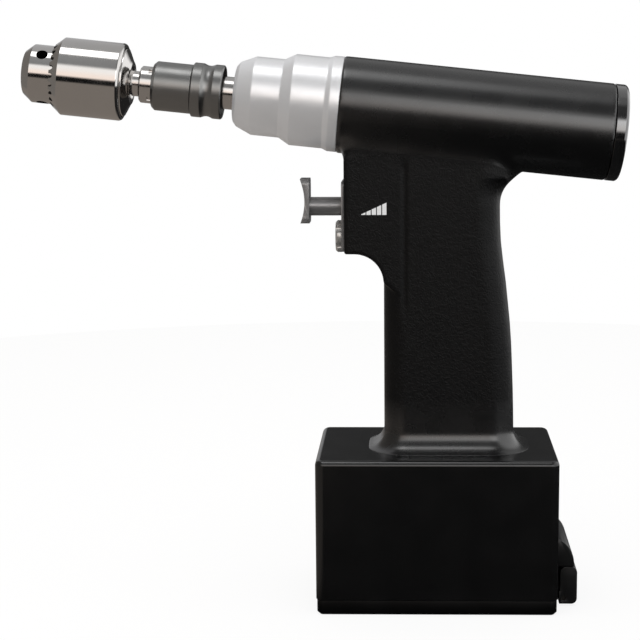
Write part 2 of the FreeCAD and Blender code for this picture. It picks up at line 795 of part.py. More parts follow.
def bearing_rollers():
    """The rollers between the rings; they turn with the inner rings here."""
    members = []
    radius = "((bearing_radius - bearing_bore) / 2 - race_wall - roller_fit)"
    middle = "((bearing_bore + bearing_radius) / 2)"
    for station in ("rear_bearing_at", "front_bearing_at"):
        for index in range(int(value("roller_count"))):
            place = (f"{BARREL} * placement(vector(roller_end - {station} - bearing_width; 0; 0); "
                     f"rotation(vector(1; 0; 0); {index} * 360 / roller_count)) * "
                     f"{at('0', '0', middle, '0; 1; 0', '90')}")
            members.append(loose_cylinder(f"roller_{station}_{index}", place, radius,
                                          "bearing_width - 2 * roller_end"))
    compound("bearing_rollers", members)


def spindle_seal():
    """The rubber lip seal in the nose cone's mouth."""
    rear = "-front_bearing_at - bearing_width - clearance / 2"
    turned_piece("spindle_seal", [
        (rear, "spindle_collar_radius + running_fit"),
        (rear, "seal_radius"),
        (f"{rear} - seal_width", "seal_radius"),
        (f"{rear} - seal_width", "spindle_collar_radius + running_fit"),
    ])


def coupling_body():
    """The steel socket on the spindle that the chuck's shank plugs into."""
    body = turned_piece("coupling_body", [
        ("-coupling_rear", "spindle_nose_radius"),
        ("-coupling_rear", "coupling_core_radius"),
        ("-coupling_split", "coupling_core_radius"),
        ("-coupling_split", "coupling_radius"),
        ("coupling_edge - coupling_front", "coupling_radius"),
        ("-coupling_front", "coupling_radius - coupling_edge"),
        ("-coupling_front", "flange_radius + running_fit"),
        ("clearance / 2 - flange_rear", "flange_radius + running_fit"),
        ("clearance / 2 - flange_rear", "shank_radius + running_fit"),
        ("-shank_rear + clearance / 2", "shank_radius + running_fit"),
        ("-shank_rear + clearance / 2", "spindle_nose_radius"),
    ])
    hole = rod(body, "lock_hole", ("-lock_at", "0", "0"), "coupling_core_radius + lock_stand + running_fit",
               "lock_radius + running_fit", "rotation(vector(0; 1; 0); 0)", cut=True)
    repeat_round(body, "lock_holes", hole, "3")
    rod(body, "key_hole", ("-coupling_rear - 3.4", "0", "-coupling_core_radius - 1"),
        "coupling_core_radius * 2 + 2", "1", "rotation(vector(0; 1; 0); 0)", cut=True)


def coupling_pins():
    """Three pins in the socket's radial holes that lock the chuck's shank; they reach into its groove."""
    members = []
    for index in range(3):
        place = (f"{BARREL} * placement(vector(-lock_at; 0; 0); rotation(vector(1; 0; 0); {120 * index})) * "
                 f"{at('0', '0', 'shank_radius - lock_depth')}")
        members.append(loose_cylinder(f"coupling_pin_{index}", place, "lock_radius",
                                      "coupling_core_radius - shank_radius + lock_depth + lock_stand"))
    compound("coupling_pins", members)


def coupling_collar():
    """The grey sleeve that is pulled back to free the chuck, waisted for the fingers."""
    ring_front = "(collar_rear + collar_ring)"
    middle = "(collar_rear + collar_ring + 2.5)"
    second = "(collar_rear + collar_ring + 5)"
    front = "(coupling_split - 0.2)"
    lip = f"({front} - collar_lip)"
    turned_piece("coupling_collar", [
        ("-collar_rear", "collar_bore"),
        ("-collar_rear", "collar_radius - 0.5"),
        ("-collar_rear - 0.5", "collar_radius"),
        (f"-{ring_front}", "collar_radius"),
        (f"-{middle}", "collar_radius - collar_waist"),
        (f"-{second}", "collar_radius"),
        (f"-{front} + 0.3", "collar_radius"),
        (f"-{front}", "collar_radius - 0.3"),
        (f"-{front}", "coupling_core_radius + running_fit"),
        (f"-{lip}", "coupling_core_radius + running_fit"),
        (f"-{lip}", "collar_bore"),
    ])


def coupling_clip():
    """The snap ring on the coupling body's rear end that the spring bears on."""
    turned_piece("coupling_clip", [
        ("-coupling_rear", "coupling_core_radius"),
        ("-coupling_rear", "collar_bore - 0.1"),
        ("-coupling_rear - clip_ring_width", "collar_bore - 0.1"),
        ("-coupling_rear - clip_ring_width", "coupling_core_radius"),
    ])


def helix(body, name, start, height, turns, radius, wire):
    """A coil spring of square wire about the body's X axis."""
    profile = draw(body, name + "_profile", "XY_Plane", [
        (start, f"{radius} - {wire} / 2"), (f"{start} + {wire}", f"{radius} - {wire} / 2"),
        (f"{start} + {wire}", f"{radius} + {wire} / 2"), (start, f"{radius} + {wire} / 2")])
    feature = body.newObject("PartDesign::AdditiveHelix", name)
    feature.Profile = profile
    feature.ReferenceAxis = (profile, ["H_Axis"])
    feature.Mode = "height-turns-angle"
    feature.setExpression("Height", bound(f"{height} - {wire}"))
    feature.Turns = turns
    return finish_feature(body, feature)


def springs():
    body = new_body("coupling_spring", BARREL)
    front = "(coupling_split - 0.2 - collar_lip - 0.05)"
    rear = "(coupling_rear + clip_ring_width + 0.05)"
    helix(body, "coupling_coil", f"-{front}", f"({front} - {rear})", 3,
          "((coupling_core_radius + collar_bore) / 2)", "0.8")
    body = new_body("trigger_spring", at("0", "0", "trigger_height"))
    helix(body, "trigger_coil", f"{STEM_END} + 0.05", f"(switch_rear - switch_length - {STEM_END} - 0.1)", 4,
          "(stem_radius - 0.6)", "0.8")


def chuck_shank():
    """The chuck's plug: a locking groove, a notched flange and the neck into the chuck."""
    body = turned_piece("chuck_shank", [
        ("-shank_rear", "0"),
        ("-shank_rear", "shank_radius - 0.5"),
        ("-shank_rear - 0.5", "shank_radius"),
        ("lock_radius + 0.1 - lock_at", "shank_radius"),
        ("lock_radius + 0.1 - lock_at", "shank_radius - lock_depth - running_fit"),
        ("-lock_radius - 0.1 - lock_at", "shank_radius - lock_depth - running_fit"),
        ("-lock_radius - 0.1 - lock_at", "shank_radius"),
        ("-flange_rear", "shank_radius"),
        ("-flange_rear", "flange_radius"),
        ("0.5 - flange_front", "flange_radius"),
        ("-flange_front", "flange_radius - 0.5"),
        ("-flange_front", "shank_radius"),
        ("-boss_start", "shank_radius"),
        ("-boss_start", "spindle_nose_radius"),
        ("-disc_end - 2", "spindle_nose_radius"),
        ("-disc_end - 2", "0"),
    ])
    notch = rod(body, "bayonet_notch", ("-flange_front - 1", "flange_radius", "0"),
                "flange_front - coupling_front + 1", "notch_radius", cut=True)
    repeat_round(body, "bayonet_notches", notch, "2")


def jaw_place(index):
    """A jaw's own frame: X runs back along its bore, from the tip."""
    round_axis = f"placement(vector(0; 0; 0); rotation(vector(1; 0; 0); jaw_angle_start + {120 * index}))"
    slope = "placement(vector(-jaw_tip; 0; jaw_tip_radius); rotation(vector(0; 1; 0); -jaw_angle))"
    return f"{round_axis} * {slope}"


def chuck_body():
    """The chuck's core: three sloping jaw bores, the nut's groove and the key's pilot holes."""
    body = turned_piece("chuck_body", [
        ("-disc_end - 2", "0"),
        ("-disc_end - 2", "spindle_nose_radius"),
        ("-boss_start", "spindle_nose_radius"),
        ("-boss_start", "shank_radius + 0.15"),
        ("-boss_end", "boss_radius"),
        ("-boss_end", "disc_small_radius"),
        ("-disc_edge", "disc_radius"),
        ("-disc_end", "disc_radius"),
        ("-disc_end", "chuck_radius"),
        ("clearance / 2 - nut_rear", "chuck_radius"),
        ("clearance / 2 - nut_rear", "nut_groove_floor"),
        ("-clearance / 2 - nut_rear - nut_width", "nut_groove_floor"),
        ("-clearance / 2 - nut_rear - nut_width", "chuck_radius"),
        ("-chuck_nose_start", "chuck_radius"),
        ("-chuck_front", "chuck_nose_radius"),
        ("-chuck_front", "throat_radius + 0.6"),
        ("0.6 - chuck_front", "throat_radius"),
        ("-throat_rear", "throat_radius"),
        ("-throat_rear", "0"),
    ])
    radial = "placement(vector(0; 0; 0); rotation(vector(1; 0; 0); key_hole_angle)) * "
    hole = primitive(body, "SubtractiveCylinder", "key_hole", radial + at("-key_hole_at", "0", "key_hole_floor"),
                     Radius="key_hole_radius", Height="chuck_radius")
    repeat_round(body, "key_holes", hole, "3")
    start = f"{jaw_place(0)} * placement(vector(-20; 0; 0); rotation(vector(0; 1; 0); 90))"
    bore = primitive(body, "SubtractiveCylinder", "jaw_bore", start, Radius="jaw_radius + running_fit",
                     Height="jaw_length + 21")
    repeat_round(body, "jaw_bores", bore, "3")


def jaws():
    """Three jaws in sloping bores, ground flat where they grip, with rack teeth on their backs."""
    for index in range(3):
        body = new_body(f"jaw_{index + 1}", f"{BARREL} * {jaw_place(index)}")
        turn(body, "jaw_rod", [("0", "0"), ("0", "jaw_radius - 0.8"), ("0.8", "jaw_radius"),
                               ("jaw_length", "jaw_radius"), ("jaw_length", "0")])
        place = ("placement(vector(0; 0; -jaw_tip_radius); rotation(vector(0; 1; 0); jaw_angle)) * "
                 "placement(vector(-5; -5; -5); rotation(vector(0; 0; 1); 0))")
        primitive(body, "SubtractiveBox", "grip_flat", place, Length="jaw_length", Width="10",
                  Height="jaw_flat + 5")


def chuck_sleeve():
    """The outer sleeve, with the ring of key teeth on its front bevel."""
    body = turned_piece("chuck_sleeve", [
        ("-sleeve_rear", "sleeve_chamber_radius"),
        ("-sleeve_rear", "sleeve_radius - sleeve_edge"),
        ("-sleeve_rear - sleeve_edge", "sleeve_radius"),
        ("-sleeve_bevel", "sleeve_radius"),
        ("-sleeve_front", "sleeve_front_radius"),
        ("-sleeve_front", "chuck_radius + running_fit + 0.03"),
        ("-sleeve_chamber_end", "chuck_radius + running_fit + 0.03"),
        ("-sleeve_chamber_end", "sleeve_chamber_radius"),
    ])
    slope = "(atan((sleeve_radius - sleeve_front_radius) / (sleeve_front - sleeve_bevel)))"
    place = ("placement(vector(-sleeve_front; 0; sleeve_front_radius); "
             f"rotation(vector(0; 1; 0); 90 deg - {slope})) * "
             "placement(vector(-tooth_gap_depth; -tooth_gap_width / 2; -1); rotation(vector(0; 0; 1); 0))")
    gap = primitive(body, "SubtractiveBox", "tooth_gap", place, Length="tooth_gap_depth * 3",
                    Width="tooth_gap_width", Height="(sleeve_front - sleeve_bevel) * 1.7")
    repeat_round(body, "key_teeth", gap, "sleeve_teeth")


def chuck_nut():
    """The split ring nut, pressed into the sleeve, that drives the jaws."""
    outside = "chuck_radius + running_fit + 0.03"
    turned_piece("chuck_nut", [
        ("-nut_rear", "nut_groove_floor + 0.15"), ("-nut_rear", outside),
        ("-nut_rear - nut_width", outside), ("-nut_rear - nut_width", "nut_groove_floor + 0.15")])


def tube(label, front, rear, inner, outer):
    turned_piece(label, [(front, inner), (front, outer), (rear, outer), (rear, inner)])


def motor():
    """Brushless motor: can, magnets, end plates, bushes, and the rotor on its shaft."""
    can_front = "(motor_front + motor_plate)"
    can_rear = f"({MOTOR_REAR} - motor_plate)"
    can_inside = "(motor_radius - can_wall)"
    rotor_front = "(motor_front + motor_length / 2 - rotor_length / 2)"
    rotor_rear = f"({rotor_front} + rotor_length)"
    tube("motor_can", can_front, can_rear, can_inside, "motor_radius")
    tube("motor_magnets", rotor_front, rotor_rear, f"{can_inside} - magnet_wall", can_inside)
    tube("motor_front_plate", "motor_front", can_front, "motor_bush_radius", "motor_radius")
    tube("motor_rear_plate", can_rear, MOTOR_REAR, "motor_bush_radius", "motor_radius")
    members = []
    for index, station in enumerate(("motor_front", can_rear)):
        place = f"{BARREL} * placement(vector({station}; 0; 0); rotation(vector(0; 1; 0); 90))"
        bush = doc.addObject("Part::Cut", f"motor_bush_{index}")
        bush.Base = loose_cylinder(f"bush_outside_{index}", place, "motor_bush_radius", "motor_plate")
        bush.Tool = loose_cylinder(f"bush_inside_{index}", place, "shaft_radius + running_fit", "motor_plate")
        members.append(bush)
    compound("motor_bushes", members)
    tube("motor_rotor", rotor_front, rotor_rear, "shaft_radius", "rotor_radius")
    turned_piece("motor_shaft", [
        (f"-{GEAR_FRONT}", "0"), (f"-{GEAR_FRONT}", "shaft_radius"), (f"{MOTOR_REAR} + 2", "shaft_radius"),
        (f"{MOTOR_REAR} + 2", "0")])


def trigger_plate():
    body = new_body("trigger_plate")
    outline = [("-plate_half_width", "plate_low"), ("plate_half_width", "plate_low"),
               ("plate_half_width", "plate_high"), ("-plate_half_width", "plate_high")]
    extrude(body, "plate", "YZ_Plane", outline, "plate_thickness", start=PLATE_FRONT)
    soften(body, "plate_corners", "2", lambda edge: all_at(edge, "y", "plate_half_width")
           and edge.BoundBox.ZLength < 0.1 or all_at(edge, "y", "-plate_half_width")
           and edge.BoundBox.ZLength < 0.1)
    rod(body, "bush_hole", (f"{PLATE_FRONT} - 1", "0", "trigger_height"), "plate_thickness + 2",
        "stem_radius + running_fit + bush_wall", cut=True)
    rod(body, "selector_hole", (f"{PLATE_FRONT} - 1", "0", "knob_height"), "plate_thickness + 2",
        "knob_shaft_radius + running_fit", cut=True)
    screw_seats(body, PLATE_SCREWS, "90")


def trigger_bush():
    inner = "stem_radius + running_fit"
    outer = "stem_radius + running_fit + bush_wall"
    turned_piece("trigger_bush", [(PLATE_FRONT, inner), (PLATE_FRONT, outer), (BUSH_END, outer),
                                  (BUSH_END, inner)], at("0", "0", "trigger_height"))


def trigger():
    """The finger piece: a dished cross bar on a round stem."""
    body = new_body("trigger")
    front = "(button_rear - button_thickness)"
    rise = "(button_high - button_low)"
    dish_radius = f"({rise} * {rise} / (8 * button_dish) + button_dish / 2)"
    extrude(body, "finger_bar", "XZ_Plane", [
        ("button_rear", "button_low"),
        ("button_rear", "button_high"),
        (front, "button_high", f"-{dish_radius}"),
        (front, "button_low"),
    ], "button_half_width * 2", both_sides=True)
    soften(body, "bar_corners", "2.4", lambda edge: edge.BoundBox.YLength < 0.1 and (
        all_at(edge, "z", "button_low") or all_at(edge, "z", "button_high")))
    rod(body, "stem", ("button_rear - 1", "0", "trigger_height"), "stem_length + 1", "stem_radius")
    rod(body, "cross_hole", (f"{PLATE_FRONT} - 7", "0", "trigger_height - stem_radius - 1"), "2.6", "0.7",
        "rotation(vector(0; 0; 1); 0)", cut=True)


def trigger_clip():
    """The snap ring behind the bush that stops the trigger at rest."""
    start = f"({BUSH_END} + clearance / 3)"
    turned_piece("trigger_clip", [
        (start, "stem_radius"), (start, "stem_radius + clip_step"),
        (f"{start} + clip_thickness", "stem_radius + clip_step"), (f"{start} + clip_thickness", "stem_radius"),
    ], at("0", "0", "trigger_height"))


def selector_knob():
    """The fluted mode knob under the trigger, with its shaft through the plate."""
    rear = f"({PLATE_FRONT} - 0.1)"
    front = f"({rear} - knob_length)"
    end = f"({rear} + knob_shaft_length)"
    body = turned_piece("selector_knob", [
        (end, "0"), (end, "knob_shaft_radius"), (rear, "knob_shaft_radius"), (rear, "knob_radius"),
        (f"{front} + 0.8", "knob_radius"), (front, "knob_radius - 0.8"), (front, "0"),
    ], at("0", "0", "knob_height"))
    flute = rod(body, "flute", (f"{front} - 1", "0", "knob_radius + 1.1"), "knob_length + 2", "1.9", cut=True)
    repeat_round(body, "flutes", flute, "knob_flutes")


def inside_the_grip():
    """Speed switch behind the trigger, and the control board with its transistors and leads."""
    switch = new_body("speed_switch")
    block(switch, "switch_case", ("switch_rear - switch_length", "-switch_half", "trigger_height - switch_half"),
          ("switch_rear", "switch_half", "trigger_height + switch_half"))
    for side in (-1, 1):
        low, high = (f"-{GRIP_HALF_INSIDE}", "-switch_half") if side < 0 else ("switch_half", GRIP_HALF_INSIDE)
        block(switch, f"switch_ear_{side + 2}", ("switch_rear - 4", low, "trigger_height - 2"),
              ("switch_rear - 1", high, "trigger_height + 2"))
    board = new_body("control_board")
    block(board, "board", (f"{GRIP_FRONT_INSIDE} + clearance / 2", "-board_thickness / 2", "board_low"),
          (f"{GRIP_BACK_INSIDE} - clearance / 2", "board_thickness / 2", "board_high"))
    members = []
    for index in range(3):
        low = f"board_low + 8 + {index} * 18"
        members.append(loose_box(f"transistor_{index}", ("-6", "board_thickness / 2", low),
                                 ("6", "board_thickness / 2 + 4.5", f"{low} + 12")))
    compound("power_transistors", members)
    members = []
    for index in range(3):
        start = at(f"grip_back_top - 12 + ({index} - 1) * lead_spacing", "0", "board_high + 0.05")
        members.append(loose_cylinder(f"lead_{index}", start, "lead_radius",
                                      "joint_z - barrel_radius - 5.5 - board_high"))
    compound("motor_leads", members)


def battery():
    """The battery pack in its case, and the contacts under the box's roof."""
    half = "(box_length / 2 - box_wall - case_gap)"
    side = "(box_depth / 2 - box_wall - case_gap)"
    floor = "(seam + lid_rim + clearance / 2)"
    roof = "(box_top - box_wall - 1)"
    case = new_body("battery_case")
    block(case, "case", (f"-{half}", f"-{side}", floor), (half, side, "case_top"))
    block(case, "case_inside", (f"case_wall - {half}", f"case_wall - {side}", f"{floor} + case_wall"),
          (f"{half} - case_wall", f"{side} - case_wall", "case_top - case_wall"), cut=True)
    across = f"(({side} - case_wall) * 2 / 3)"
    upward = f"((case_top - {floor} - case_wall * 2) / 2)"
    radius = f"(min({across}; {upward}) / 2 - cell_gap / 2)"
    members = []
    for layer in range(2):
        for column in range(3):
            place = at("-cell_length / 2", f"({column} - 1) * {across}",
                       f"{floor} + case_wall + {layer} * {upward} + {radius} + cell_gap / 4", "0; 1; 0", "90")
            members.append(loose_cylinder(f"cell_{layer}_{column}", place, radius, "cell_length"))
    compound("battery_cells", members)
    contact = new_body("contact_block")
    block(contact, "contact_base", ("-contact_length / 2", "-contact_width / 2", "case_top + 4"),
          ("contact_length / 2", "contact_width / 2", roof))
    members = []
    for index in range(4):
        place = at(f"({index} - 1.5) * contact_spacing", "0", "case_top")
        members.append(loose_cylinder(f"contact_{index}", place, "contact_pin_radius", "4"))
    compound("contact_pins", members)


def battery_lid():
    """The hinged floor of the box, which the drill stands on."""
    body = new_body("battery_lid")
    half_length = "(box_length / 2 - lid_inset)"
    half_depth = "(box_depth / 2 - lid_inset)"
    outline = rounded_outline(f"-{half_length}", half_length, half_depth, "lid_corner", "lid_corner")
    extrude(body, "lid_plate", "XY_Plane", outline, "seam - lid_gap")
    soften(body, "lid_bottom_edge", "lid_edge", lambda edge: all_at(edge, "z", "0"), kind="Chamfer")
    inside = "(box_length / 2 - box_wall - 0.5)"
    across = "(box_depth / 2 - box_wall - 0.5)"
    block(body, "lid_rim", (f"2.5 - {inside}", f"-{across}", "seam - lid_gap - 1"),
          (inside, across, "seam + lid_rim"))
    block(body, "lid_rim_inside", (f"2.5 + lid_rim_wall - {inside}", f"lid_rim_wall - {across}",
                                   "seam - lid_gap"),
          (f"{inside} - lid_rim_wall", f"{across} - lid_rim_wall", "seam + lid_rim + 1"), cut=True)
    rod(body, "box_knuckle_room", (HINGE_X, "-hinge_knuckle_length / 2 - clearance / 2", HINGE_Z),
        "hinge_knuckle_length + clearance", "hinge_knuckle_radius + clearance / 2", ALONG_Y, cut=True)
    for index, (begin, end) in enumerate(knuckle_spans()):
        rod(body, f"lid_knuckle_{index}", (HINGE_X, begin, HINGE_Z), f"({end}) - ({begin})",
            "hinge_knuckle_radius", ALONG_Y)
    rod(body, "hinge_pin_hole", (HINGE_X, "-hinge_knuckle_length * 1.5 - 1", HINGE_Z),
        "hinge_knuckle_length * 3 + 2", "hinge_pin_radius + running_fit", ALONG_Y, cut=True)
    for side in (-1, 1):
        low = f"{side} * latch_lug_at - latch_lug_width / 2"
        block(body, f"latch_lug_{side + 2}", (f"{half_length} - 1", low, "latch_pin_z - 2.2"),
              (f"{LATCH_PIN_X} + 1.9", f"{low} + latch_lug_width", "latch_pin_z + 1.9"))
    rod(body, "latch_pin_hole", (LATCH_PIN_X, "-latch_half_width", "latch_pin_z"), "latch_half_width * 2",
        "latch_pin_radius", ALONG_Y, cut=True)


def lid_small_parts():
    half_length = "(box_length / 2 - box_wall - 0.5)"
    across = "(box_depth / 2 - box_wall - 0.5)"
    gasket = new_body("lid_gasket")
    block(gasket, "gasket", (f"2.5 + lid_rim_wall - {half_length}", f"lid_rim_wall - {across}", "seam - lid_gap"),
          (f"{half_length} - lid_rim_wall", f"{across} - lid_rim_wall", "seam - lid_gap + gasket_height"))
    block(gasket, "gasket_inside", (f"6.5 - {half_length}", f"6.5 - {across}", "seam - lid_gap - 1"),
          (f"{half_length} - 6.5", f"{across} - 6.5", "seam + 5"), cut=True)
    pin = new_body("hinge_pin")
    rod(pin, "pin", (HINGE_X, "-hinge_knuckle_length * 1.5", HINGE_Z), "hinge_knuckle_length * 3",
        "hinge_pin_radius", ALONG_Y)
    pin = new_body("latch_pin")
    rod(pin, "pin", (LATCH_PIN_X, "0.5 - latch_half_width", "latch_pin_z"), "latch_half_width * 2 - 1",
        "latch_pin_radius", ALONG_Y)


def latch_lever():
    """The thumb lever on the box's rear wall that holds the lid shut."""
    body = new_body("latch_lever")
    near = "(box_length / 2 + latch_gap)"
    far = "(box_length / 2 + latch_gap + latch_thickness)"
    round_by = "latch_round"
    extrude(body, "lever", "XZ_Plane", [
        (near, "latch_pin_z + 3"),
        (f"{LATCH_PIN_X} - 1.8", "latch_pin_z + 3"),
        (f"{LATCH_PIN_X} - 1.8", "latch_low"),
        (f"{far} - {round_by}", "latch_low", round_by),
        (far, f"latch_low + {round_by}"),
        (far, f"latch_top - {round_by}", round_by),
        (f"{far} - {round_by}", "latch_top"),
        (f"{near} + {round_by}", "latch_top", round_by),
        (near, f"latch_top - {round_by}"),
    ], "latch_half_width * 2", both_sides=True)
    for side in (-1, 1):
        low = f"{side} * latch_lug_at - latch_lug_width / 2 - clearance / 2"
        block(body, f"lug_slot_{side + 2}", ("box_length / 2", low, "latch_low - 1"),
              (f"{LATCH_PIN_X} + 3", f"{low} + latch_lug_width + clearance", "latch_pin_z + 3.4"), cut=True)
    rod(body, "pin_hole", (LATCH_PIN_X, "-latch_half_width - 1", "latch_pin_z"), "latch_half_width * 2 + 2",
        "latch_pin_radius + running_fit", ALONG_Y, cut=True)


def latch_catch():
    """The hooded keeper on the wall above the lever."""
    body = new_body("latch_catch")
    wall = "box_length / 2"
    low = "(latch_top + lid_gap)"
    high = "(latch_top + lid_gap + catch_height)"
    extrude(body, "hood", "XZ_Plane", [
        (wall, low),
        (f"{wall} + catch_reach", low),
        (f"{wall} + catch_reach", f"{low} + 2", "11.5"),
        (wall, high),
    ], "latch_half_width * 2", both_sides=True)
    block(body, "hood_hollow", (f"{wall} + catch_wall", "catch_wall - latch_half_width", f"{low} - 1"),
          (f"{wall} + catch_reach - catch_wall", "latch_half_width - catch_wall", f"{low} + 4"), cut=True)
    screw_seats(body, CATCH_SCREWS, "-90")


def assemble():
    handpiece_body()
    nose_cone()
    seal_ring("nose_seal", "spigot_length / 2")
    rear_cap()
    seal_ring("rear_cap_seal", "barrel_length - cap_spigot / 2")
    ring_gear()
    gears()
    output_spindle()
    race_rings("bearing_outer_races", "bearing_radius - race_wall", "bearing_radius")
    race_rings("bearing_inner_races", "bearing_bore", "bearing_bore + race_wall")
    bearing_rollers()
    spindle_seal()
    coupling_body()
    coupling_pins()
    coupling_collar()
    coupling_clip()
    springs()
    chuck_shank()
    chuck_body()
    jaws()
    chuck_sleeve()
    chuck_nut()
    motor()
    trigger_plate()
    trigger_bush()
    trigger()
    trigger_clip()
    selector_knob()
    countersunk_screws()
    inside_the_grip()
    battery()
    battery_lid()
    lid_small_parts()
    latch_lever()
    latch_catch()


def check_and_export():
    doc.recompute()
    failed = [item.Label for item in doc.Objects if {"Invalid", "Error"} & set(item.State)]
    bad = [piece.Label for piece in pieces if piece.Shape.isNull() or not piece.Shape.isValid()]
    if failed or bad:
        raise RuntimeError(f"objects that failed: {failed}, shapes that are not valid: {bad}")
    os.makedirs("parts", exist_ok=True)
    for piece in pieces:
        piece.Shape.exportStep(f"parts/{piece.Label}.step")


assemble()
check_and_export()
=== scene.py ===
import json
import math

import bmesh
import bpy
from mathutils import Matrix, Vector


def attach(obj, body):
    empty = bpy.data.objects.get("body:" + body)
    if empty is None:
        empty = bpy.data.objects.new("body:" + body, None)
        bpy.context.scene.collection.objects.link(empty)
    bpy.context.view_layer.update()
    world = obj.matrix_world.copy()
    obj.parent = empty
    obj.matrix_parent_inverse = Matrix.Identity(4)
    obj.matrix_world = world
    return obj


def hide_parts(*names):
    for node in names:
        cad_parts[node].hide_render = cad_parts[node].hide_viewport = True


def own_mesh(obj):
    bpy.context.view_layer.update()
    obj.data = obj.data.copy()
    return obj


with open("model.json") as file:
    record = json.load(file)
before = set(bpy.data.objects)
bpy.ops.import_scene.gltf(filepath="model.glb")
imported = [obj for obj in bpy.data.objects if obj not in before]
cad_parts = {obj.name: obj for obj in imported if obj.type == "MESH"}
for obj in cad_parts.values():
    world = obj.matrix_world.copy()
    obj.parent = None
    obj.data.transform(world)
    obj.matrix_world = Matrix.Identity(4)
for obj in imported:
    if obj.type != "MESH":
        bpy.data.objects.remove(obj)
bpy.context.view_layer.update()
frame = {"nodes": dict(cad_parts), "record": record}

# Barrel, trigger block and hand grip: one aluminium casting. The barrel is bored through, the block and
# grip have flat sides, and the palm's side is round. It is powder-coated black, satin on the barrel and
# with a fine leathery wrinkle on the flats.
MM = 0.001
TILT = math.radians(6)
BARREL_PLACE = Matrix.Translation((-39.95 * MM, 0, 209.4 * MM)) @ Matrix.Rotation(TILT, 4, "Y")
BARREL_RADIUS = 20
BARREL_LENGTH = 112.3
BARREL_EDGE = 0.7
GRIP_HALF = 15.5
GRIP_FRONT = -22
GRIP_FOOT = 65.5
WEB_RADIUS = 12
BLOCK_HALF = GRIP_HALF - 0.15
BLOCK_FRONT = -38.25
BLOCK_UNDER = 148.5
GROOVE_X = -13.4 * MM
GROOVE_REACH = 1.9 * MM
GROOVE_DEPTH = 0.5 * MM
GROOVE_LOW = 120 * MM
GROOVE_HIGH = 188 * MM
LEATHER_FROM = 76 * MM
LEATHER_FULL = 88 * MM
VOXEL = 0.62 * MM


def finish_mesh(name, work, material, body, stands_for=(), sharp=32):
    """Turns a bmesh into a smooth-shaded piece that rides on a body and may stand for CAD nodes."""
    mesh = bpy.data.meshes.new(name)
    work.to_mesh(mesh)
    work.free()
    mesh.materials.append(material)
    mesh.shade_smooth()
    mesh.set_sharp_from_angle(angle=math.radians(sharp))
    piece = bpy.data.objects.new(name, mesh)
    bpy.context.scene.collection.objects.link(piece)
    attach(piece, body)
    for node in stands_for:
        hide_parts(node)
    return piece


def spun(profile, corner=0.25, steps=144, rounding=3, place=BARREL_PLACE):
    """A turned solid: the profile (station, radius) in millimetres with its corners eased, spun about X."""
    work = bmesh.new()
    verts = [work.verts.new((x * MM, 0, r * MM)) for x, r in profile]
    on_axis = [r == 0 for x, r in profile]
    pairs = list(zip(range(len(verts)), range(1, len(verts))))
    if not (on_axis[0] and on_axis[-1]):
        pairs.append((len(verts) - 1, 0))
    for a, b in pairs:
        work.edges.new((verts[a], verts[b]))
    eased = [vert for vert, centre in zip(verts, on_axis) if not centre]
    bmesh.ops.bevel(work, geom=eased, offset=corner * MM, offset_type="OFFSET", affect="VERTICES",
                    segments=rounding, profile=0.5, material=-1, clamp_overlap=True)
    bmesh.ops.spin(work, geom=work.verts[:] + work.edges[:], cent=(0, 0, 0), axis=(1, 0, 0), dvec=(0, 0, 0),
                   angle=2 * math.pi, steps=steps, use_merge=True, use_duplicate=False)
    bmesh.ops.remove_doubles(work, verts=work.verts, dist=1e-6)
    bmesh.ops.recalc_face_normals(work, faces=work.faces)
    bmesh.ops.transform(work, matrix=place, verts=work.verts)
    return work


def baked(piece):
    """Makes the modifiers of a piece part of its mesh."""
    bpy.context.view_layer.update()
    final = bpy.data.meshes.new_from_object(piece.evaluated_get(bpy.context.evaluated_depsgraph_get()))
    piece.modifiers.clear()
    piece.data = final
    return piece


def node_tree(name):
    """A new material with its nodes, its links and its main shader."""
    material = bpy.data.materials.new(name)
    material.use_nodes = True
    nodes, links = material.node_tree.nodes, material.node_tree.links
    return material, nodes, links, nodes["Principled BSDF"]


def add_noise(nodes, links, source, scale, detail, roughness=0.5):
    """A noise texture at a place on the piece."""
    noise = nodes.new("ShaderNodeTexNoise")
    noise.inputs["Scale"].default_value = scale
    noise.inputs["Detail"].default_value = detail
    noise.inputs["Roughness"].default_value = roughness
    links.new(source, noise.inputs["Vector"])
    return noise


def spread(nodes, links, source, low, high, start=0.35, end=0.65):
    """A value spread over a narrow band, such as roughness that changes a little from place to place."""
    band = nodes.new("ShaderNodeMapRange")
    for name, number in (("From Min", start), ("From Max", end), ("To Min", low), ("To Max", high)):
        band.inputs[name].default_value = number
    links.new(source, band.inputs["Value"])
    return band.outputs["Result"]


def mixed_colour(nodes, links, factor, first, second):
    """A blend of two colours, where each is a colour or a socket that gives one."""
    mix = nodes.new("ShaderNodeMix")
    mix.data_type = "RGBA"
    for name, colour in (("A", first), ("B", second)):
        if isinstance(colour, bpy.types.NodeSocket):
            links.new(colour, mix.inputs[name])
        else:
            mix.inputs[name].default_value = (*colour, 1)
    links.new(factor, mix.inputs["Factor"])
    return mix.outputs["Result"]


def mixed_shader(nodes, links, factor, first, second):
    """A blend of two finishes, which is all the second where the factor is 1."""
    mix = nodes.new("ShaderNodeMixShader")
    links.new(factor, mix.inputs["Fac"])
    links.new(first, mix.inputs[1])
    links.new(second, mix.inputs[2])
    return mix.outputs["Shader"]


def reckoned(nodes, links, operation, first, second):
    """A sum or product of a socket and a second term, which is a socket or a number."""
    step = nodes.new("ShaderNodeMath")
    step.operation = operation
    links.new(first, step.inputs[0])
    if isinstance(second, bpy.types.NodeSocket):
        links.new(second, step.inputs[1])
    else:
        step.inputs[1].default_value = second
    return step.outputs["Value"]


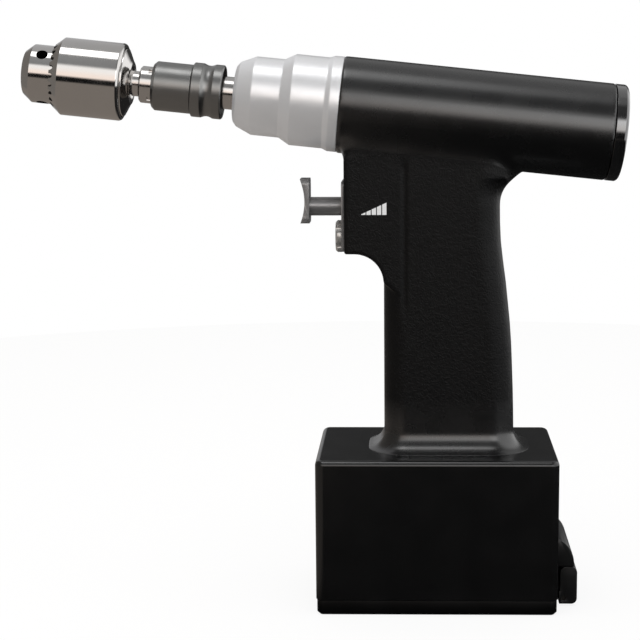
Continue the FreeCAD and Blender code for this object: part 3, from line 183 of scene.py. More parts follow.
def add_bump(nodes, links, height, distance, before=None):
    """Relief from a height, over the relief that comes before it if there is one."""
    bump = nodes.new("ShaderNodeBump")
    bump.inputs["Strength"].default_value = 1
    bump.inputs["Distance"].default_value = distance
    links.new(height, bump.inputs["Height"])
    if before:
        links.new(before, bump.inputs["Normal"])
    return bump.outputs["Normal"]


def powder_coat(name, colour, lighter, rough, grain, gloss=0.5):
    """Black powder coat with a fine grain."""
    material, nodes, links, shader = node_tree(name)
    shader.inputs["Specular IOR Level"].default_value = gloss
    place = nodes.new("ShaderNodeTexCoord").outputs["Object"]
    cloud = add_noise(nodes, links, place, 90, 4)
    links.new(mixed_colour(nodes, links, cloud.outputs["Fac"], colour, lighter), shader.inputs["Base Color"])
    fine = add_noise(nodes, links, place, 3800, 2)
    sheen = spread(nodes, links, cloud.outputs["Fac"], rough - 0.015, rough + 0.02)
    links.new(sheen, shader.inputs["Roughness"])
    links.new(add_bump(nodes, links, fine.outputs["Fac"], grain), shader.inputs["Normal"])
    return material


def leathery_below(material, start, end, fold, deep):
    """Adds the leathery coat of the flats, which begins a little outside the barrel and above the foot."""
    nodes, links = material.node_tree.nodes, material.node_tree.links
    smooth = nodes["Principled BSDF"]
    rough = nodes.new("ShaderNodeBsdfPrincipled")
    rough.inputs["Base Color"].default_value = (0.002, 0.002, 0.0022, 1)
    rough.inputs["Roughness"].default_value = 0.42
    rough.inputs["Specular IOR Level"].default_value = 0.2
    place = nodes.new("ShaderNodeTexCoord").outputs["Object"]
    bent = add_noise(nodes, links, place, fold, 2)
    bent.inputs["Distortion"].default_value = 1.6
    folds = spread(nodes, links, bent.outputs["Fac"], 0, 1, 0.42, 0.58)
    links.new(add_bump(nodes, links, folds, deep), rough.inputs["Normal"])
    shift = nodes.new("ShaderNodeVectorMath")
    shift.operation = "SUBTRACT"
    shift.inputs[1].default_value = BARREL_PLACE.translation
    links.new(place, shift.inputs[0])
    turn = nodes.new("ShaderNodeMapping")
    turn.inputs["Rotation"].default_value = (0, -TILT, 0)
    links.new(shift.outputs["Vector"], turn.inputs["Vector"])
    across = nodes.new("ShaderNodeVectorMath")
    across.operation = "MULTIPLY"
    across.inputs[1].default_value = (0, 1, 1)
    links.new(turn.outputs["Vector"], across.inputs[0])
    reach = nodes.new("ShaderNodeVectorMath")
    reach.operation = "LENGTH"
    links.new(across.outputs["Vector"], reach.inputs[0])
    outside = spread(nodes, links, reach.outputs["Value"], 0, 1, start, end)
    apart = nodes.new("ShaderNodeSeparateXYZ")
    links.new(place, apart.inputs["Vector"])
    above = spread(nodes, links, apart.outputs["Z"], 0, 1, LEATHER_FROM, LEATHER_FULL)
    coat = mixed_shader(nodes, links, reckoned(nodes, links, "MULTIPLY", outside, above),
                        smooth.outputs["BSDF"], rough.outputs["BSDF"])
    links.new(coat, nodes["Material Output"].inputs["Surface"])


casting_coat = powder_coat("casting_coat", (0.0012, 0.0012, 0.0013), (0.002, 0.002, 0.0022), 0.27,
                           0.002 * MM, 1.0)
leathery_below(casting_coat, 22.2 * MM, 23.2 * MM, 620, 0.05 * MM)


def grip_ring(work, height, front, back, half, front_round, back_round):
    """One closed outline across the grip: a rectangle with its corners rounded."""
    corners = [work.verts.new((x * MM, y * MM, height * MM))
               for x, y in ((front, -half), (back, -half), (back, half), (front, half))]
    edges = [work.edges.new((corners[i], corners[(i + 1) % 4])) for i in range(4)]
    known = set(work.edges) - set(edges)
    for chosen, radius, segments in (((0, 3), front_round, 10), ((1, 2), back_round, 14)):
        bmesh.ops.bevel(work, geom=[corners[i] for i in chosen], offset=radius * MM, offset_type="OFFSET",
                        affect="VERTICES", segments=segments, profile=0.5, material=-1, clamp_overlap=True)
    return [edge for edge in work.edges if edge not in known]


def grip_solid():
    """The grip from its hollow foot on the box up into the barrel."""
    flare = 8
    front_round, back_round = 9, 10
    rings = []
    for angle in (84, 76, 68, 60, 52, 44, 36, 28, 20, 12, 5):
        reach = flare * (1 - math.cos(math.radians(angle)))
        rings.append((GRIP_FOOT + flare * (1 - math.sin(math.radians(angle))), GRIP_FRONT - reach,
                      32.6 + reach, GRIP_HALF + reach, front_round + reach, back_round + reach))
    rings.insert(0, (64.6, *rings[0][1:]))
    for height, back in ((73.5, 32.6), (82, 32.45), (91, 32.2), (101, 31.8), (110, 31.4), (119, 30.75),
                         (128, 29.8), (136, 28.95), (145, 27.7), (153, 26.75), (161, 26.35)):
        rings.append((height, GRIP_FRONT, back, GRIP_HALF, front_round, back_round))
    for angle in (0, 10, 20, 30, 40, 50, 60, 70):
        rings.append((168.3 + WEB_RADIUS * math.sin(math.radians(angle)), GRIP_FRONT,
                      26.25 + WEB_RADIUS * (1 - math.cos(math.radians(angle))), GRIP_HALF,
                      front_round, back_round + 5 * angle / 70))
    inside_barrel = 197
    rings.append((inside_barrel, *rings[-1][1:]))
    work = bmesh.new()
    loops = [grip_ring(work, *ring) for ring in rings]
    for low, high in zip(loops, loops[1:]):
        bmesh.ops.bridge_loops(work, edges=low + high)
    for loop in (loops[0], loops[-1]):
        bmesh.ops.edgeloop_fill(work, edges=loop)
    bmesh.ops.recalc_face_normals(work, faces=work.faces)
    return work


def block_solid():
    """The trigger block: its flat front, and the hollow curve under it that meets the grip."""
    inside_grip, inside_barrel = -11.4, 199
    web_foot = BLOCK_UNDER - WEB_RADIUS
    outline = [(BLOCK_FRONT, BLOCK_UNDER)]
    for degrees in range(0, 91, 6):
        angle = math.radians(degrees)
        outline.append((GRIP_FRONT - WEB_RADIUS + WEB_RADIUS * math.sin(angle),
                        web_foot + WEB_RADIUS * math.cos(angle)))
    outline += [(-13, web_foot - 7), (inside_grip, web_foot - 7), (inside_grip, inside_barrel),
                (BLOCK_FRONT, inside_barrel)]
    work = bmesh.new()
    side = [work.verts.new((x * MM, -BLOCK_HALF * MM, z * MM)) for x, z in outline]
    face = work.faces.new(side)
    grown = bmesh.ops.extrude_face_region(work, geom=[face])
    moved = [item for item in grown["geom"] if isinstance(item, bmesh.types.BMVert)]
    bmesh.ops.translate(work, verts=moved, vec=(0, 2 * BLOCK_HALF * MM, 0))
    front = [edge for edge in work.edges if all(abs(v.co.x - BLOCK_FRONT * MM) < 1e-6 for v in edge.verts)
             and abs(edge.verts[0].co.z - edge.verts[1].co.z) > 20 * MM]
    bmesh.ops.bevel(work, geom=front, offset=1.3 * MM, offset_type="OFFSET", affect="EDGES", segments=4,
                    profile=0.5, material=-1, clamp_overlap=True)
    bmesh.ops.recalc_face_normals(work, faces=work.faces)
    return work


def joined(*solids):
    """Several solids in one bmesh."""
    whole = bmesh.new()
    for solid in solids:
        carrier = bpy.data.meshes.new("carrier")
        solid.to_mesh(carrier)
        solid.free()
        whole.from_mesh(carrier)
        bpy.data.meshes.remove(carrier)
    return whole


barrel_rod = spun([(0, 0), (0, BARREL_RADIUS), (BARREL_LENGTH, BARREL_RADIUS), (BARREL_LENGTH, 0)],
                  corner=BARREL_EDGE)
casting = finish_mesh("hand_casting", joined(barrel_rod, grip_solid(), block_solid()), casting_coat,
                      "handpiece", ["handpiece_body"])
skin = casting.modifiers.new("one_skin", "REMESH")
skin.mode = "VOXEL"
skin.voxel_size = VOXEL
skin.use_smooth_shade = True
relax = casting.modifiers.new("relax", "SMOOTH")
relax.factor = 0.5
relax.iterations = 5
baked(casting)


def ease_junction(piece, rounds):
    """Melts the crease where grip and block run into the barrel, as the cast fillet there does."""
    away = BARREL_PLACE.inverted()
    work = bmesh.new()
    work.from_mesh(piece.data)
    near = []
    for vert in work.verts:
        spot = away @ vert.co / MM
        outside = math.hypot(spot.y, spot.z) - BARREL_RADIUS
        if spot.z < -6 and 2 < spot.x < 100 and -1.5 < outside < 5.5 and (outside > 0.05 or abs(spot.y) > 9):
            near.append(vert)
    for step in range(rounds):
        bmesh.ops.smooth_vert(work, verts=near, factor=0.5, use_axis_x=True, use_axis_y=True, use_axis_z=True)
    work.to_mesh(piece.data)
    work.free()


ease_junction(casting, 110)
for vert in casting.data.vertices:
    across = (vert.co.x - GROOVE_X) / GROOVE_REACH
    on_flat = abs(abs(vert.co.y) - GRIP_HALF * MM) < 0.6 * MM
    if abs(across) < 1 and on_flat and GROOVE_LOW < vert.co.z < GROOVE_HIGH:
        fade = min(1, (vert.co.z - GROOVE_LOW) / (12 * MM)) * min(1, (GROOVE_HIGH - vert.co.z) / (4 * MM))
        depth = GROOVE_DEPTH * (0.5 + 0.5 * math.cos(math.pi * across)) * fade
        vert.co.y -= math.copysign(depth, vert.co.y)

# Battery box: the casting's foot, 100 by 66 mm, open below for the battery, with 3 mm walls. Its coat is
# smoother than the grip's, and its corners are rounded.
box_coat = powder_coat("box_coat", (0.0015, 0.0015, 0.0016), (0.0022, 0.0022, 0.0024), 0.23, 0.001 * MM, 0.7)
SEAM = 6.5
BOX_HALF_LENGTH = 50.15
BOX_HALF_DEPTH = 33
BOX_WALL = 3
BOX_ROOF = 4


def box_solid(low, high, edges=0.0, segments=4, upright=None):
    """A box between two corners in millimetres; upright rounds its vertical edges first."""
    work = bmesh.new()
    bmesh.ops.create_cube(work, size=1)
    size = [(b - a) * MM for a, b in zip(low, high)]
    middle = [(a + b) / 2 * MM for a, b in zip(low, high)]
    bmesh.ops.scale(work, vec=size, verts=work.verts)
    bmesh.ops.translate(work, vec=middle, verts=work.verts)
    if upright:
        tall = [edge for edge in work.edges if abs(edge.verts[0].co.z - edge.verts[1].co.z) > size[2] / 2]
        bmesh.ops.bevel(work, geom=tall, offset=upright * MM, offset_type="OFFSET", affect="EDGES",
                        segments=10, profile=0.5, material=-1, clamp_overlap=True)
    if edges:
        chosen = work.edges[:]
        if upright:
            chosen = [edge for edge in work.edges if abs(edge.verts[0].co.z - edge.verts[1].co.z) < 1e-7
                      and edge.verts[0].co.z > middle[2]]
        bmesh.ops.bevel(work, geom=chosen, offset=edges * MM, offset_type="OFFSET", affect="EDGES",
                        segments=segments, profile=0.5, material=-1, clamp_overlap=True)
    return work


def cut_from(piece, *solids, inside=None):
    """Cuts solids out of a piece; inside is the material of the cut faces."""
    mesh = bpy.data.meshes.new("cutter")
    cutting = joined(*solids)
    bmesh.ops.recalc_face_normals(cutting, faces=cutting.faces)
    cutting.to_mesh(mesh)
    cutting.free()
    if inside:
        mesh.materials.append(inside)
    cutter = bpy.data.objects.new("cutter", mesh)
    bpy.context.scene.collection.objects.link(cutter)
    cut = piece.modifiers.new("cut", "BOOLEAN")
    cut.operation = "DIFFERENCE"
    cut.solver = "EXACT"
    cut.object = cutter
    if inside:
        cut.material_mode = "TRANSFER"
    baked(piece)
    bpy.data.objects.remove(cutter)
    return piece


def rod_solid(start, end, radius, steps=48):
    """A plain round rod between two points in millimetres, as a cutter or a pin."""
    first, last = Vector(start) * MM, Vector(end) * MM
    along = last - first
    work = bmesh.new()
    bmesh.ops.create_cone(work, cap_ends=True, segments=steps, radius1=radius * MM, radius2=radius * MM,
                          depth=along.length)
    turn = along.to_track_quat("Z", "Y").to_matrix().to_4x4()
    bmesh.ops.transform(work, matrix=Matrix.Translation((first + last) / 2) @ turn, verts=work.verts)
    return work


def soften(piece, width, segments=3, angle=35):
    """Eases every sharp edge of a finished piece."""
    work = bmesh.new()
    work.from_mesh(piece.data)
    bmesh.ops.remove_doubles(work, verts=work.verts, dist=1e-6)
    bmesh.ops.dissolve_limit(work, angle_limit=math.radians(1), verts=work.verts, edges=work.edges)
    work.to_mesh(piece.data)
    work.free()
    ease = piece.modifiers.new("ease", "BEVEL")
    ease.width = width * MM
    ease.segments = segments
    ease.limit_method = "ANGLE"
    ease.angle_limit = math.radians(angle)
    ease.use_clamp_overlap = True
    ease.harden_normals = True
    baked(piece)
    piece.data.shade_smooth()
    piece.data.set_sharp_from_angle(angle=math.radians(50))
    return piece


def evened(piece):
    """Takes each corner's shading from the larger faces round it, so that flat and turned faces stay true."""
    even = piece.modifiers.new("even", "WEIGHTED_NORMAL")
    even.mode = "FACE_AREA"
    even.weight = 100
    even.keep_sharp = True
    return baked(piece)


outer = box_solid((-BOX_HALF_LENGTH, -BOX_HALF_DEPTH, SEAM), (BOX_HALF_LENGTH, BOX_HALF_DEPTH, GRIP_FOOT),
                  2.2, 6, 3.5)
box = finish_mesh("battery_box", outer, box_coat, "handpiece", ["handpiece_body"])
bay_length = BOX_HALF_LENGTH - BOX_WALL
bay_depth = BOX_HALF_DEPTH - BOX_WALL
cut_from(box, box_solid((-bay_length, -bay_depth, SEAM - 1), (bay_length, bay_depth, GRIP_FOOT - BOX_ROOF),
                        upright=2))

# Nose cone: turned aluminium, stepped twice, with a satin anodised finish. It plugs into the barrel and
# holds the gearbox, and the spindle comes out of its front.
def turned_metal(name, colour, rough, lines, line_depth, spots=0.0, tint=None, metallic=1.0):
    """Metal from the lathe: fine rings round the axis, and a sheen that changes a little."""
    material, nodes, links, shader = node_tree(name)
    place = nodes.new("ShaderNodeTexCoord").outputs["Object"]
    turn = nodes.new("ShaderNodeMapping")
    turn.inputs["Rotation"].default_value = (0, -TILT, 0)
    links.new(place, turn.inputs["Vector"])
    apart = nodes.new("ShaderNodeSeparateXYZ")
    links.new(turn.outputs["Vector"], apart.inputs["Vector"])
    along = nodes.new("ShaderNodeCombineXYZ")
    links.new(apart.outputs["X"], along.inputs["X"])
    rings = add_noise(nodes, links, along.outputs["Vector"], lines, 3, 0.6)
    cloud = add_noise(nodes, links, place, 160, 4)
    links.new(mixed_colour(nodes, links, cloud.outputs["Fac"], colour, tint or [c * 0.94 for c in colour]),
              shader.inputs["Base Color"])
    shader.inputs["Metallic"].default_value = metallic
    ringed = spread(nodes, links, rings.outputs["Fac"], -0.02, 0.03)
    clouded = spread(nodes, links, cloud.outputs["Fac"], rough - 0.02, rough + 0.03)
    links.new(reckoned(nodes, links, "ADD", ringed, clouded), shader.inputs["Roughness"])
    normal = add_bump(nodes, links, rings.outputs["Fac"], line_depth)
    if spots:
        grain = add_noise(nodes, links, place, 3000, 2)
        normal = add_bump(nodes, links, grain.outputs["Fac"], spots, normal)
    links.new(normal, shader.inputs["Normal"])
    return material


nose_metal = turned_metal("nose_aluminium", (0.80, 0.80, 0.81), 0.34, 2600, 0.00012 * MM, 0.001 * MM,
                          metallic=0.62)
nose_profile = [
    (0.2, 17.9), (0.2, 19.7), (-3.8, 19.7), (-5.9, 18.8), (-19.7, 18.8), (-24.3, 16.2), (-35.9, 16.2),
    (-42.2, 13.4), (-43.7, 11.6), (-43.7, 9.4), (-41, 9.4), (-41, 8), (-24, 8), (-3, 15)]
nose = finish_mesh("nose_cone_turned", spun(nose_profile, 0.35, 192, 4), nose_metal, "handpiece",
                   ["nose_cone"], 40)


# Spindle seal: a ring of black rubber in the nose cone's mouth, with its lip on the spindle.
def plain_finish(name, colour, rough, metallic=0.0, size=900, depth=0.002 * MM, change=0.85, coat=0.0):
    """A moulded, drawn or ground surface: colour and sheen change a little, with a fine grain."""
    material, nodes, links, shader = node_tree(name)
    place = nodes.new("ShaderNodeTexCoord").outputs["Object"]
    cloud = add_noise(nodes, links, place, 220, 3)
    links.new(mixed_colour(nodes, links, cloud.outputs["Fac"], colour, [c * change for c in colour]),
              shader.inputs["Base Color"])
    sheen = spread(nodes, links, cloud.outputs["Fac"], rough - 0.04, rough + 0.04)
    links.new(sheen, shader.inputs["Roughness"])
    shader.inputs["Metallic"].default_value = metallic
    shader.inputs["Coat Weight"].default_value = coat
    shader.inputs["Coat Roughness"].default_value = 0.08
    grain = add_noise(nodes, links, place, size, 2)
    links.new(add_bump(nodes, links, grain.outputs["Fac"], depth), shader.inputs["Normal"])
    return material


rubber = plain_finish("rubber", (0.02, 0.02, 0.02), 0.7)
seal_profile = [(-41.2, 6.8), (-41.2, 9.4), (-43.15, 9.4), (-43.15, 7.6), (-42.6, 6.8)]
finish_mesh("spindle_seal_lip", spun(seal_profile, 0.15), rubber, "handpiece", ["spindle_seal"])

# Rear cap: a gloss black plug in the barrel's end, with a rounded rim.
cap_gloss = plain_finish("cap_gloss", (0.002, 0.002, 0.0022), 0.15, 0, 400, 0.0006 * MM, 0.9, 1.0)
cap_shader = cap_gloss.node_tree.nodes["Principled BSDF"]
cap_shader.inputs["Coat IOR"].default_value = 1.9
cap_shader.inputs["Specular IOR Level"].default_value = 1
cap_profile = [
    (104.3, 14.4), (104.3, 17.9), (112.35, 17.9), (112.35, 19.95), (116.1, 19.95), (116.8, 19.6),
    (117.3, 18.9), (117.4, 18), (117.4, 0), (115.6, 0), (115.6, 14.4)]
cap = finish_mesh("rear_cap_turned", spun(cap_profile, 0.15, 160), cap_gloss, "handpiece", ["rear_cap"])

# Coupling: a satin grey steel socket pinned to the spindle, and the release collar that slides back on it.
coupling_metal = turned_metal("coupling_steel", (0.27, 0.27, 0.265), 0.34, 3000, 0.0002 * MM, 0.0008 * MM)
socket_profile = [
    (-50.1, 5), (-50.1, 8.3), (-61.6, 8.3), (-61.6, 10.15), (-76.6, 10.15), (-77.9, 9.0), (-77.9, 7.65),
    (-75.2, 7.65), (-75.2, 5.5), (-57, 5.5), (-57, 5)]
socket = finish_mesh("coupling_socket", spun(socket_profile, 0.22), coupling_metal, "spindle",
                     ["coupling_body"])
COLLAR_RADIUS = 11.2
WAIST_DEPTH = 0.75
WAIST_STEPS = 12
waist = [(-57.4 + 5 * i / WAIST_STEPS, COLLAR_RADIUS - WAIST_DEPTH * math.sin(math.pi * i / WAIST_STEPS))
         for i in range(WAIST_STEPS + 1)]
collar_profile = [
    (-48.6, 10.1), (-48.6, 10.7), (-49.1, COLLAR_RADIUS), *reversed(waist), (-61.1, COLLAR_RADIUS),
    (-61.4, 10.9), (-61.4, 8.35), (-59.2, 8.35), (-59.2, 10.1)]
collar = finish_mesh("release_collar", spun(collar_profile, 0.12, rounding=2), coupling_metal,
                     "coupling_collar", ["coupling_collar"])

# Output spindle: ground steel between the nose cone and the coupling.
bright = turned_metal("bright_steel", (0.60, 0.585, 0.57), 0.14, 4200, 0.00012 * MM)
spindle_profile = [
    (-16.5, 0), (-16.5, 11.9), (-19.5, 11.9), (-19.5, 5), (-24.2, 5), (-24.2, 4), (-41.2, 4), (-41.2, 6.75),
    (-50, 6.75), (-50, 5), (-56.6, 5), (-56.6, 0)]
spindle = finish_mesh("spindle_shaft", spun(spindle_profile, 0.2), bright, "spindle", ["output_spindle"])

# Chuck's shank: the plug with a notched flange that locks in the coupling.
shank_profile = [
    (-57, 0), (-57, 4.95), (-57.5, 5.45), (-62.3, 5.45), (-62.3, 4.6), (-65.7, 4.6), (-65.7, 5.45),
    (-75.4, 5.45), (-75.4, 7.6), (-82.6, 7.6), (-83.3, 6.9), (-83.3, 5.2), (-87.6, 5.2), (-87.6, 5),
    (-94.5, 5), (-94.5, 0)]
shank = finish_mesh("chuck_plug", spun(shank_profile), bright, "spindle", ["chuck_shank"])


def local(x, y, z):
    """A point on or beside the barrel's axis, in millimetres of the row frame."""
    point = BARREL_PLACE @ (Vector((x, y, z)) * MM)
    return point / MM


def round_place(x, radius, degrees):
    """A point at an angle round the barrel's axis, from its top, in millimetres of the row frame."""
    angle = math.radians(degrees)
    return local(x, -radius * math.sin(angle), radius * math.cos(angle))


FLANGE_NOTCHES = (42, 138, 222, 318)
NOTCH_AT = 7.9
cut_from(shank, *[rod_solid(round_place(-79.6, NOTCH_AT, turn), round_place(-75, NOTCH_AT, turn), 1.3)
                  for turn in FLANGE_NOTCHES])

# Chuck: polished stainless steel. The core has three jaw bores, three key holes and a groove for the nut.
# The sleeve turns on it, and its front bevel carries the teeth that the key drives.
chuck_metal = turned_metal("chuck_steel", (0.58, 0.565, 0.55), 0.085, 5200, 0.00012 * MM,
                           tint=(0.62, 0.605, 0.59))
core_profile = [
    (-87.7, 5.05), (-87.7, 6.2), (-86.9, 7.2), (-86.6, 8.6), (-87.2, 9.5), (-88.6, 12.6), (-89.3, 14.05),
    (-92.5, 14.05), (-92.5, 12), (-111.05, 12), (-111.05, 10.5), (-115.35, 10.5), (-115.35, 12),
    (-127.7, 12), (-131.2, 9.1), (-131.2, 4.0), (-130.6, 3.4), (-104, 3.4), (-104, 0), (-94.5, 0),
    (-94.5, 5.05)]
core = finish_mesh("chuck_core", spun(core_profile, 0.2, 192), chuck_metal, "spindle", ["chuck_body"])
# Painted shade: a near-black metal on the cut faces of the jaw bores, key holes and key-tooth gaps, standing
# for the shade that falls inside them. The latch and hinge pins also wear it, as their own black finish.
bore_shade_and_black_pin = plain_finish("bore_shade_and_black_pin", (0.035, 0.033, 0.031), 0.55, 1, 900, 0.001 * MM)
JAW_LEAN = math.tan(math.radians(15))
JAW_AT = 5.9
JAW_RADIUS = 2.5
KEY_HOLE_AT = -123.1
KEY_HOLE_FLOOR = 6
KEY_HOLE_RADIUS = 2.4
jaw_ways = [rod_solid(round_place(-137, JAW_AT - 18 * JAW_LEAN, turn),
                      round_place(-99.2, JAW_AT + 19.8 * JAW_LEAN, turn), JAW_RADIUS)
            for turn in (107, 227, 347)]
cut_from(core, *jaw_ways, inside=bore_shade_and_black_pin)
key_holes = [rod_solid(round_place(KEY_HOLE_AT, KEY_HOLE_FLOOR, turn), round_place(KEY_HOLE_AT, 18, turn),
                       KEY_HOLE_RADIUS) for turn in (47, 167, 287)]
cut_from(core, *key_holes, inside=bore_shade_and_black_pin)

sleeve_profile = [
    (-89.9, 14.3), (-89.9, 14.9), (-90.25, 15.6), (-91.1, 16), (-93.4, 16), (-113.6, 16), (-115.3, 16),
    (-119.2, 12.7), (-119.2, 12.08), (-110.6, 12.08), (-110.6, 14.3)]
sleeve = finish_mesh("chuck_sleeve_turned", spun(sleeve_profile, 0.18, 192), chuck_metal, "chuck_sleeve",
                     ["chuck_sleeve"])
KEY_TEETH = 24
RIM_X, RIM_RADIUS = -119.0, 12.9
BEVEL_RISE, BEVEL_RUN = 0.647, 0.765


def tooth_gap(degrees):
    """The notch between two key teeth, cut square to the bevel and open at its front rim."""
    rim = round_place(RIM_X, RIM_RADIUS, degrees)
    outward = (round_place(RIM_X - BEVEL_RISE, RIM_RADIUS + BEVEL_RUN, degrees) - rim).normalized()
    upward = (round_place(RIM_X + BEVEL_RUN, RIM_RADIUS + BEVEL_RISE, degrees) - rim).normalized()
    around = outward.cross(upward)
    work = bmesh.new()
    bmesh.ops.create_cone(work, cap_ends=True, segments=24, radius1=0.85 * MM, radius2=1.35 * MM,
                          depth=3 * MM)
    laid = Matrix((upward * 2.1, around, outward)).transposed().to_4x4()
    bmesh.ops.transform(work, matrix=Matrix.Translation((rim + 0.2 * outward) * MM) @ laid, verts=work.verts)
    return work


# The tooth gaps' cut faces get the painted shade of the bores.
cut_from(sleeve, *[tooth_gap(360 / KEY_TEETH * gap) for gap in range(KEY_TEETH)], inside=bore_shade_and_black_pin)
for piece in (box, nose, cap, socket, collar, spindle, shank, core, sleeve):
    evened(piece)


# Jaws: three hardened steel rods in the core's sloping bores, ground flat where they grip.
def dressed(node, name, material, body, ease=0.2, segments=3):
    """A merged copy of a CAD node with its sharp edges eased, which stands for the node."""
    work = bmesh.new()
    work.from_mesh(frame["nodes"][node].data)
    bmesh.ops.remove_doubles(work, verts=work.verts, dist=0.002 * MM)
    piece = finish_mesh(name, work, material, body, [node])
    return soften(piece, ease, segments) if ease else piece


for number in (1, 2, 3):
    dressed(f"jaw_{number}", f"jaw_{number}_ground", bright, f"jaw_{number}", 0.12, 2)

# Trigger plate, bush and finger piece: satin steel. The finger piece is a dished bar on a round stem.
trigger_metal = plain_finish("trigger_steel", (0.30, 0.295, 0.295), 0.38, 0.7, 1500, 0.0006 * MM, 0.9)
dressed("trigger_plate", "trigger_plate_edged", trigger_metal, "handpiece", 0.15)
dressed("trigger", "finger_piece", trigger_metal, "trigger", 0.35, 4)
bush_metal = plain_finish("bronze", (0.55, 0.40, 0.22), 0.3, 1)
dressed("trigger_bush", "trigger_bush_edged", bush_metal, "handpiece", 0.1, 2)

# Selector: a fluted knob of bright steel under the trigger.
knob_metal = plain_finish("knob_steel", (0.55, 0.54, 0.52), 0.3, 0.75, 1800, 0.0006 * MM, 0.9)
dressed("selector_knob", "selector_fluted", knob_metal, "selector", 0.3, 4)

# Level mark on the block's side: five printed bars that rise to the rear, for more and less speed.
white_ink = plain_finish("white_ink", (0.82, 0.82, 0.82), 0.5)
MARK_START = -31.0
MARK_FOOT = 164.9
MARK_SIDE = -15.42
INK_THICKNESS = 0.1
BARS = 5
BAR_STEP = 2.15
BAR_WIDTH = 1.75
MARK_LENGTH = (BARS - 1) * BAR_STEP + BAR_WIDTH
marks = []
for bar in range(BARS):
    begin = MARK_START + BAR_STEP * bar
    end = begin + BAR_WIDTH
    tops = [MARK_FOOT + 0.25 + 4.75 * (x - MARK_START) / MARK_LENGTH for x in (begin, end)]
    work = bmesh.new()
    corners = [work.verts.new((x * MM, MARK_SIDE * MM, z * MM))
               for x, z in ((begin, MARK_FOOT), (end, MARK_FOOT), (end, tops[1]), (begin, tops[0]))]
    bmesh.ops.recalc_face_normals(work, faces=[work.faces.new(corners)])
    bmesh.ops.solidify(work, geom=work.faces[:], thickness=INK_THICKNESS * MM)
    marks.append(work)
printed = joined(*marks)
bmesh.ops.recalc_face_normals(printed, faces=printed.faces)
finish_mesh("level_mark", printed, white_ink, "handpiece")

# Battery lid: the hinged floor of the box, coated as the box is, with its bottom edge chamfered.
lid_coat = powder_coat("lid_coat", (0.0008, 0.0008, 0.0009), (0.0012, 0.0012, 0.0013), 0.30, 0.002 * MM, 0.3)
dressed("battery_lid", "lid_edged", lid_coat, "lid", 0.25)

# Latch: a moulded thumb lever on the box's rear wall, under a hooded keeper held by two screws.
latch_black = plain_finish("latch_black", (0.006, 0.006, 0.0063), 0.36, 0, 1400, 0.002 * MM)
dressed("latch_lever", "latch_lever_moulded", latch_black, "latch", 0.6, 4)
dressed("latch_catch", "latch_hood", latch_black, "handpiece", 0.5, 4)

# Springs: coils of square steel wire in the quick coupling and behind the finger piece.
spring_wire = plain_finish("spring_wire", (0.5, 0.5, 0.52), 0.25, 1)


def closing_coil(node, name, body):
    """A merged copy of a CAD spring, on a mesh of its own."""
    coil = dressed(node, name, spring_wire, body, 0)
    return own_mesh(coil)


closing_coil("coupling_spring", "coupling_coil", "spindle")
closing_coil("trigger_spring", "trigger_coil", "handpiece")

# What is left keeps its CAD shape and gets a finish: gears and bearings, motor, switch, board, battery,
# seal rings, pins, clips and screws.
inner = {
    "bright_steel": bright,
    "spring_steel": spring_wire,
    "rubber": rubber,
    "bronze": bush_metal,
    "contact_brass": plain_finish("contact_brass", (0.75, 0.6, 0.3), 0.25, 1),
    "copper_lead": plain_finish("lead_sleeve", (0.3, 0.03, 0.02), 0.5),
    "dark_plastic": plain_finish("dark_plastic", (0.05, 0.05, 0.05), 0.45),
    "board": plain_finish("board_mask", (0.02, 0.15, 0.06), 0.35),
    "cell": plain_finish("cell_wrap", (0.1, 0.2, 0.45), 0.4),
    "magnet": plain_finish("magnet", (0.2, 0.2, 0.2), 0.4, 1),
    "nose_aluminium": nose_metal,
    "trigger_steel": trigger_metal,
    "coupling_steel": coupling_metal,
    "chuck_steel": chuck_metal,
    "latch_plastic": latch_black,
}
for subpart in frame["record"]["subparts"]:
    node = frame["nodes"][subpart["node"]]
    if not node.hide_render:
        node.data.materials.clear()
        blackened = subpart["node"] in ("latch_pin", "hinge_pin")
        node.data.materials.append(bore_shade_and_black_pin if blackened else inner[subpart["material_slot"]])

# Studio: a pale floor, a white backdrop and one overhead lamp. Reflections see bands of light and dark
# instead, as a product photograph's softboxes and flags give them.
floor_work = bmesh.new()
bmesh.ops.create_circle(floor_work, cap_ends=True, segments=96, radius=0.75)
floor_mesh = bpy.data.meshes.new("floor")
floor_work.to_mesh(floor_mesh)
floor_work.free()
floor = bpy.data.objects.new("floor", floor_mesh)
bpy.context.scene.collection.objects.link(floor)
floor_paint, nodes, links, shader = node_tree("floor_paint")
shader.inputs["Base Color"].default_value = (0.8, 0.79, 0.78, 1)
shader.inputs["Roughness"].default_value = 0.9
glow = nodes.new("ShaderNodeEmission")
glow.inputs["Color"].default_value = (1, 1, 1, 1)
glow.inputs["Strength"].default_value = 1.02
ray = nodes.new("ShaderNodeLightPath")
share = reckoned(nodes, links, "MULTIPLY", ray.outputs["Is Camera Ray"], 0.86)
seen = mixed_shader(nodes, links, share, shader.outputs["BSDF"], glow.outputs["Emission"])
apart = nodes.new("ShaderNodeSeparateXYZ")
links.new(nodes.new("ShaderNodeTexCoord").outputs["Object"], apart.inputs["Vector"])
rightward = spread(nodes, links, apart.outputs["X"], 0, 1, -0.10, -0.06)
# Painted reflection: glossy rays see the floor glow warm grey under the left and near black under the right.
# This is set by its place, not by the light falling on it.
below = nodes.new("ShaderNodeEmission")
WARM_GREY = (0.27, 0.24, 0.215)
links.new(mixed_colour(nodes, links, rightward, WARM_GREY, (0.02, 0.02, 0.02)), below.inputs["Color"])
surface = mixed_shader(nodes, links, ray.outputs["Is Glossy Ray"], seen, below.outputs["Emission"])
links.new(surface, nodes["Material Output"].inputs["Surface"])
floor_mesh.materials.append(floor_paint)

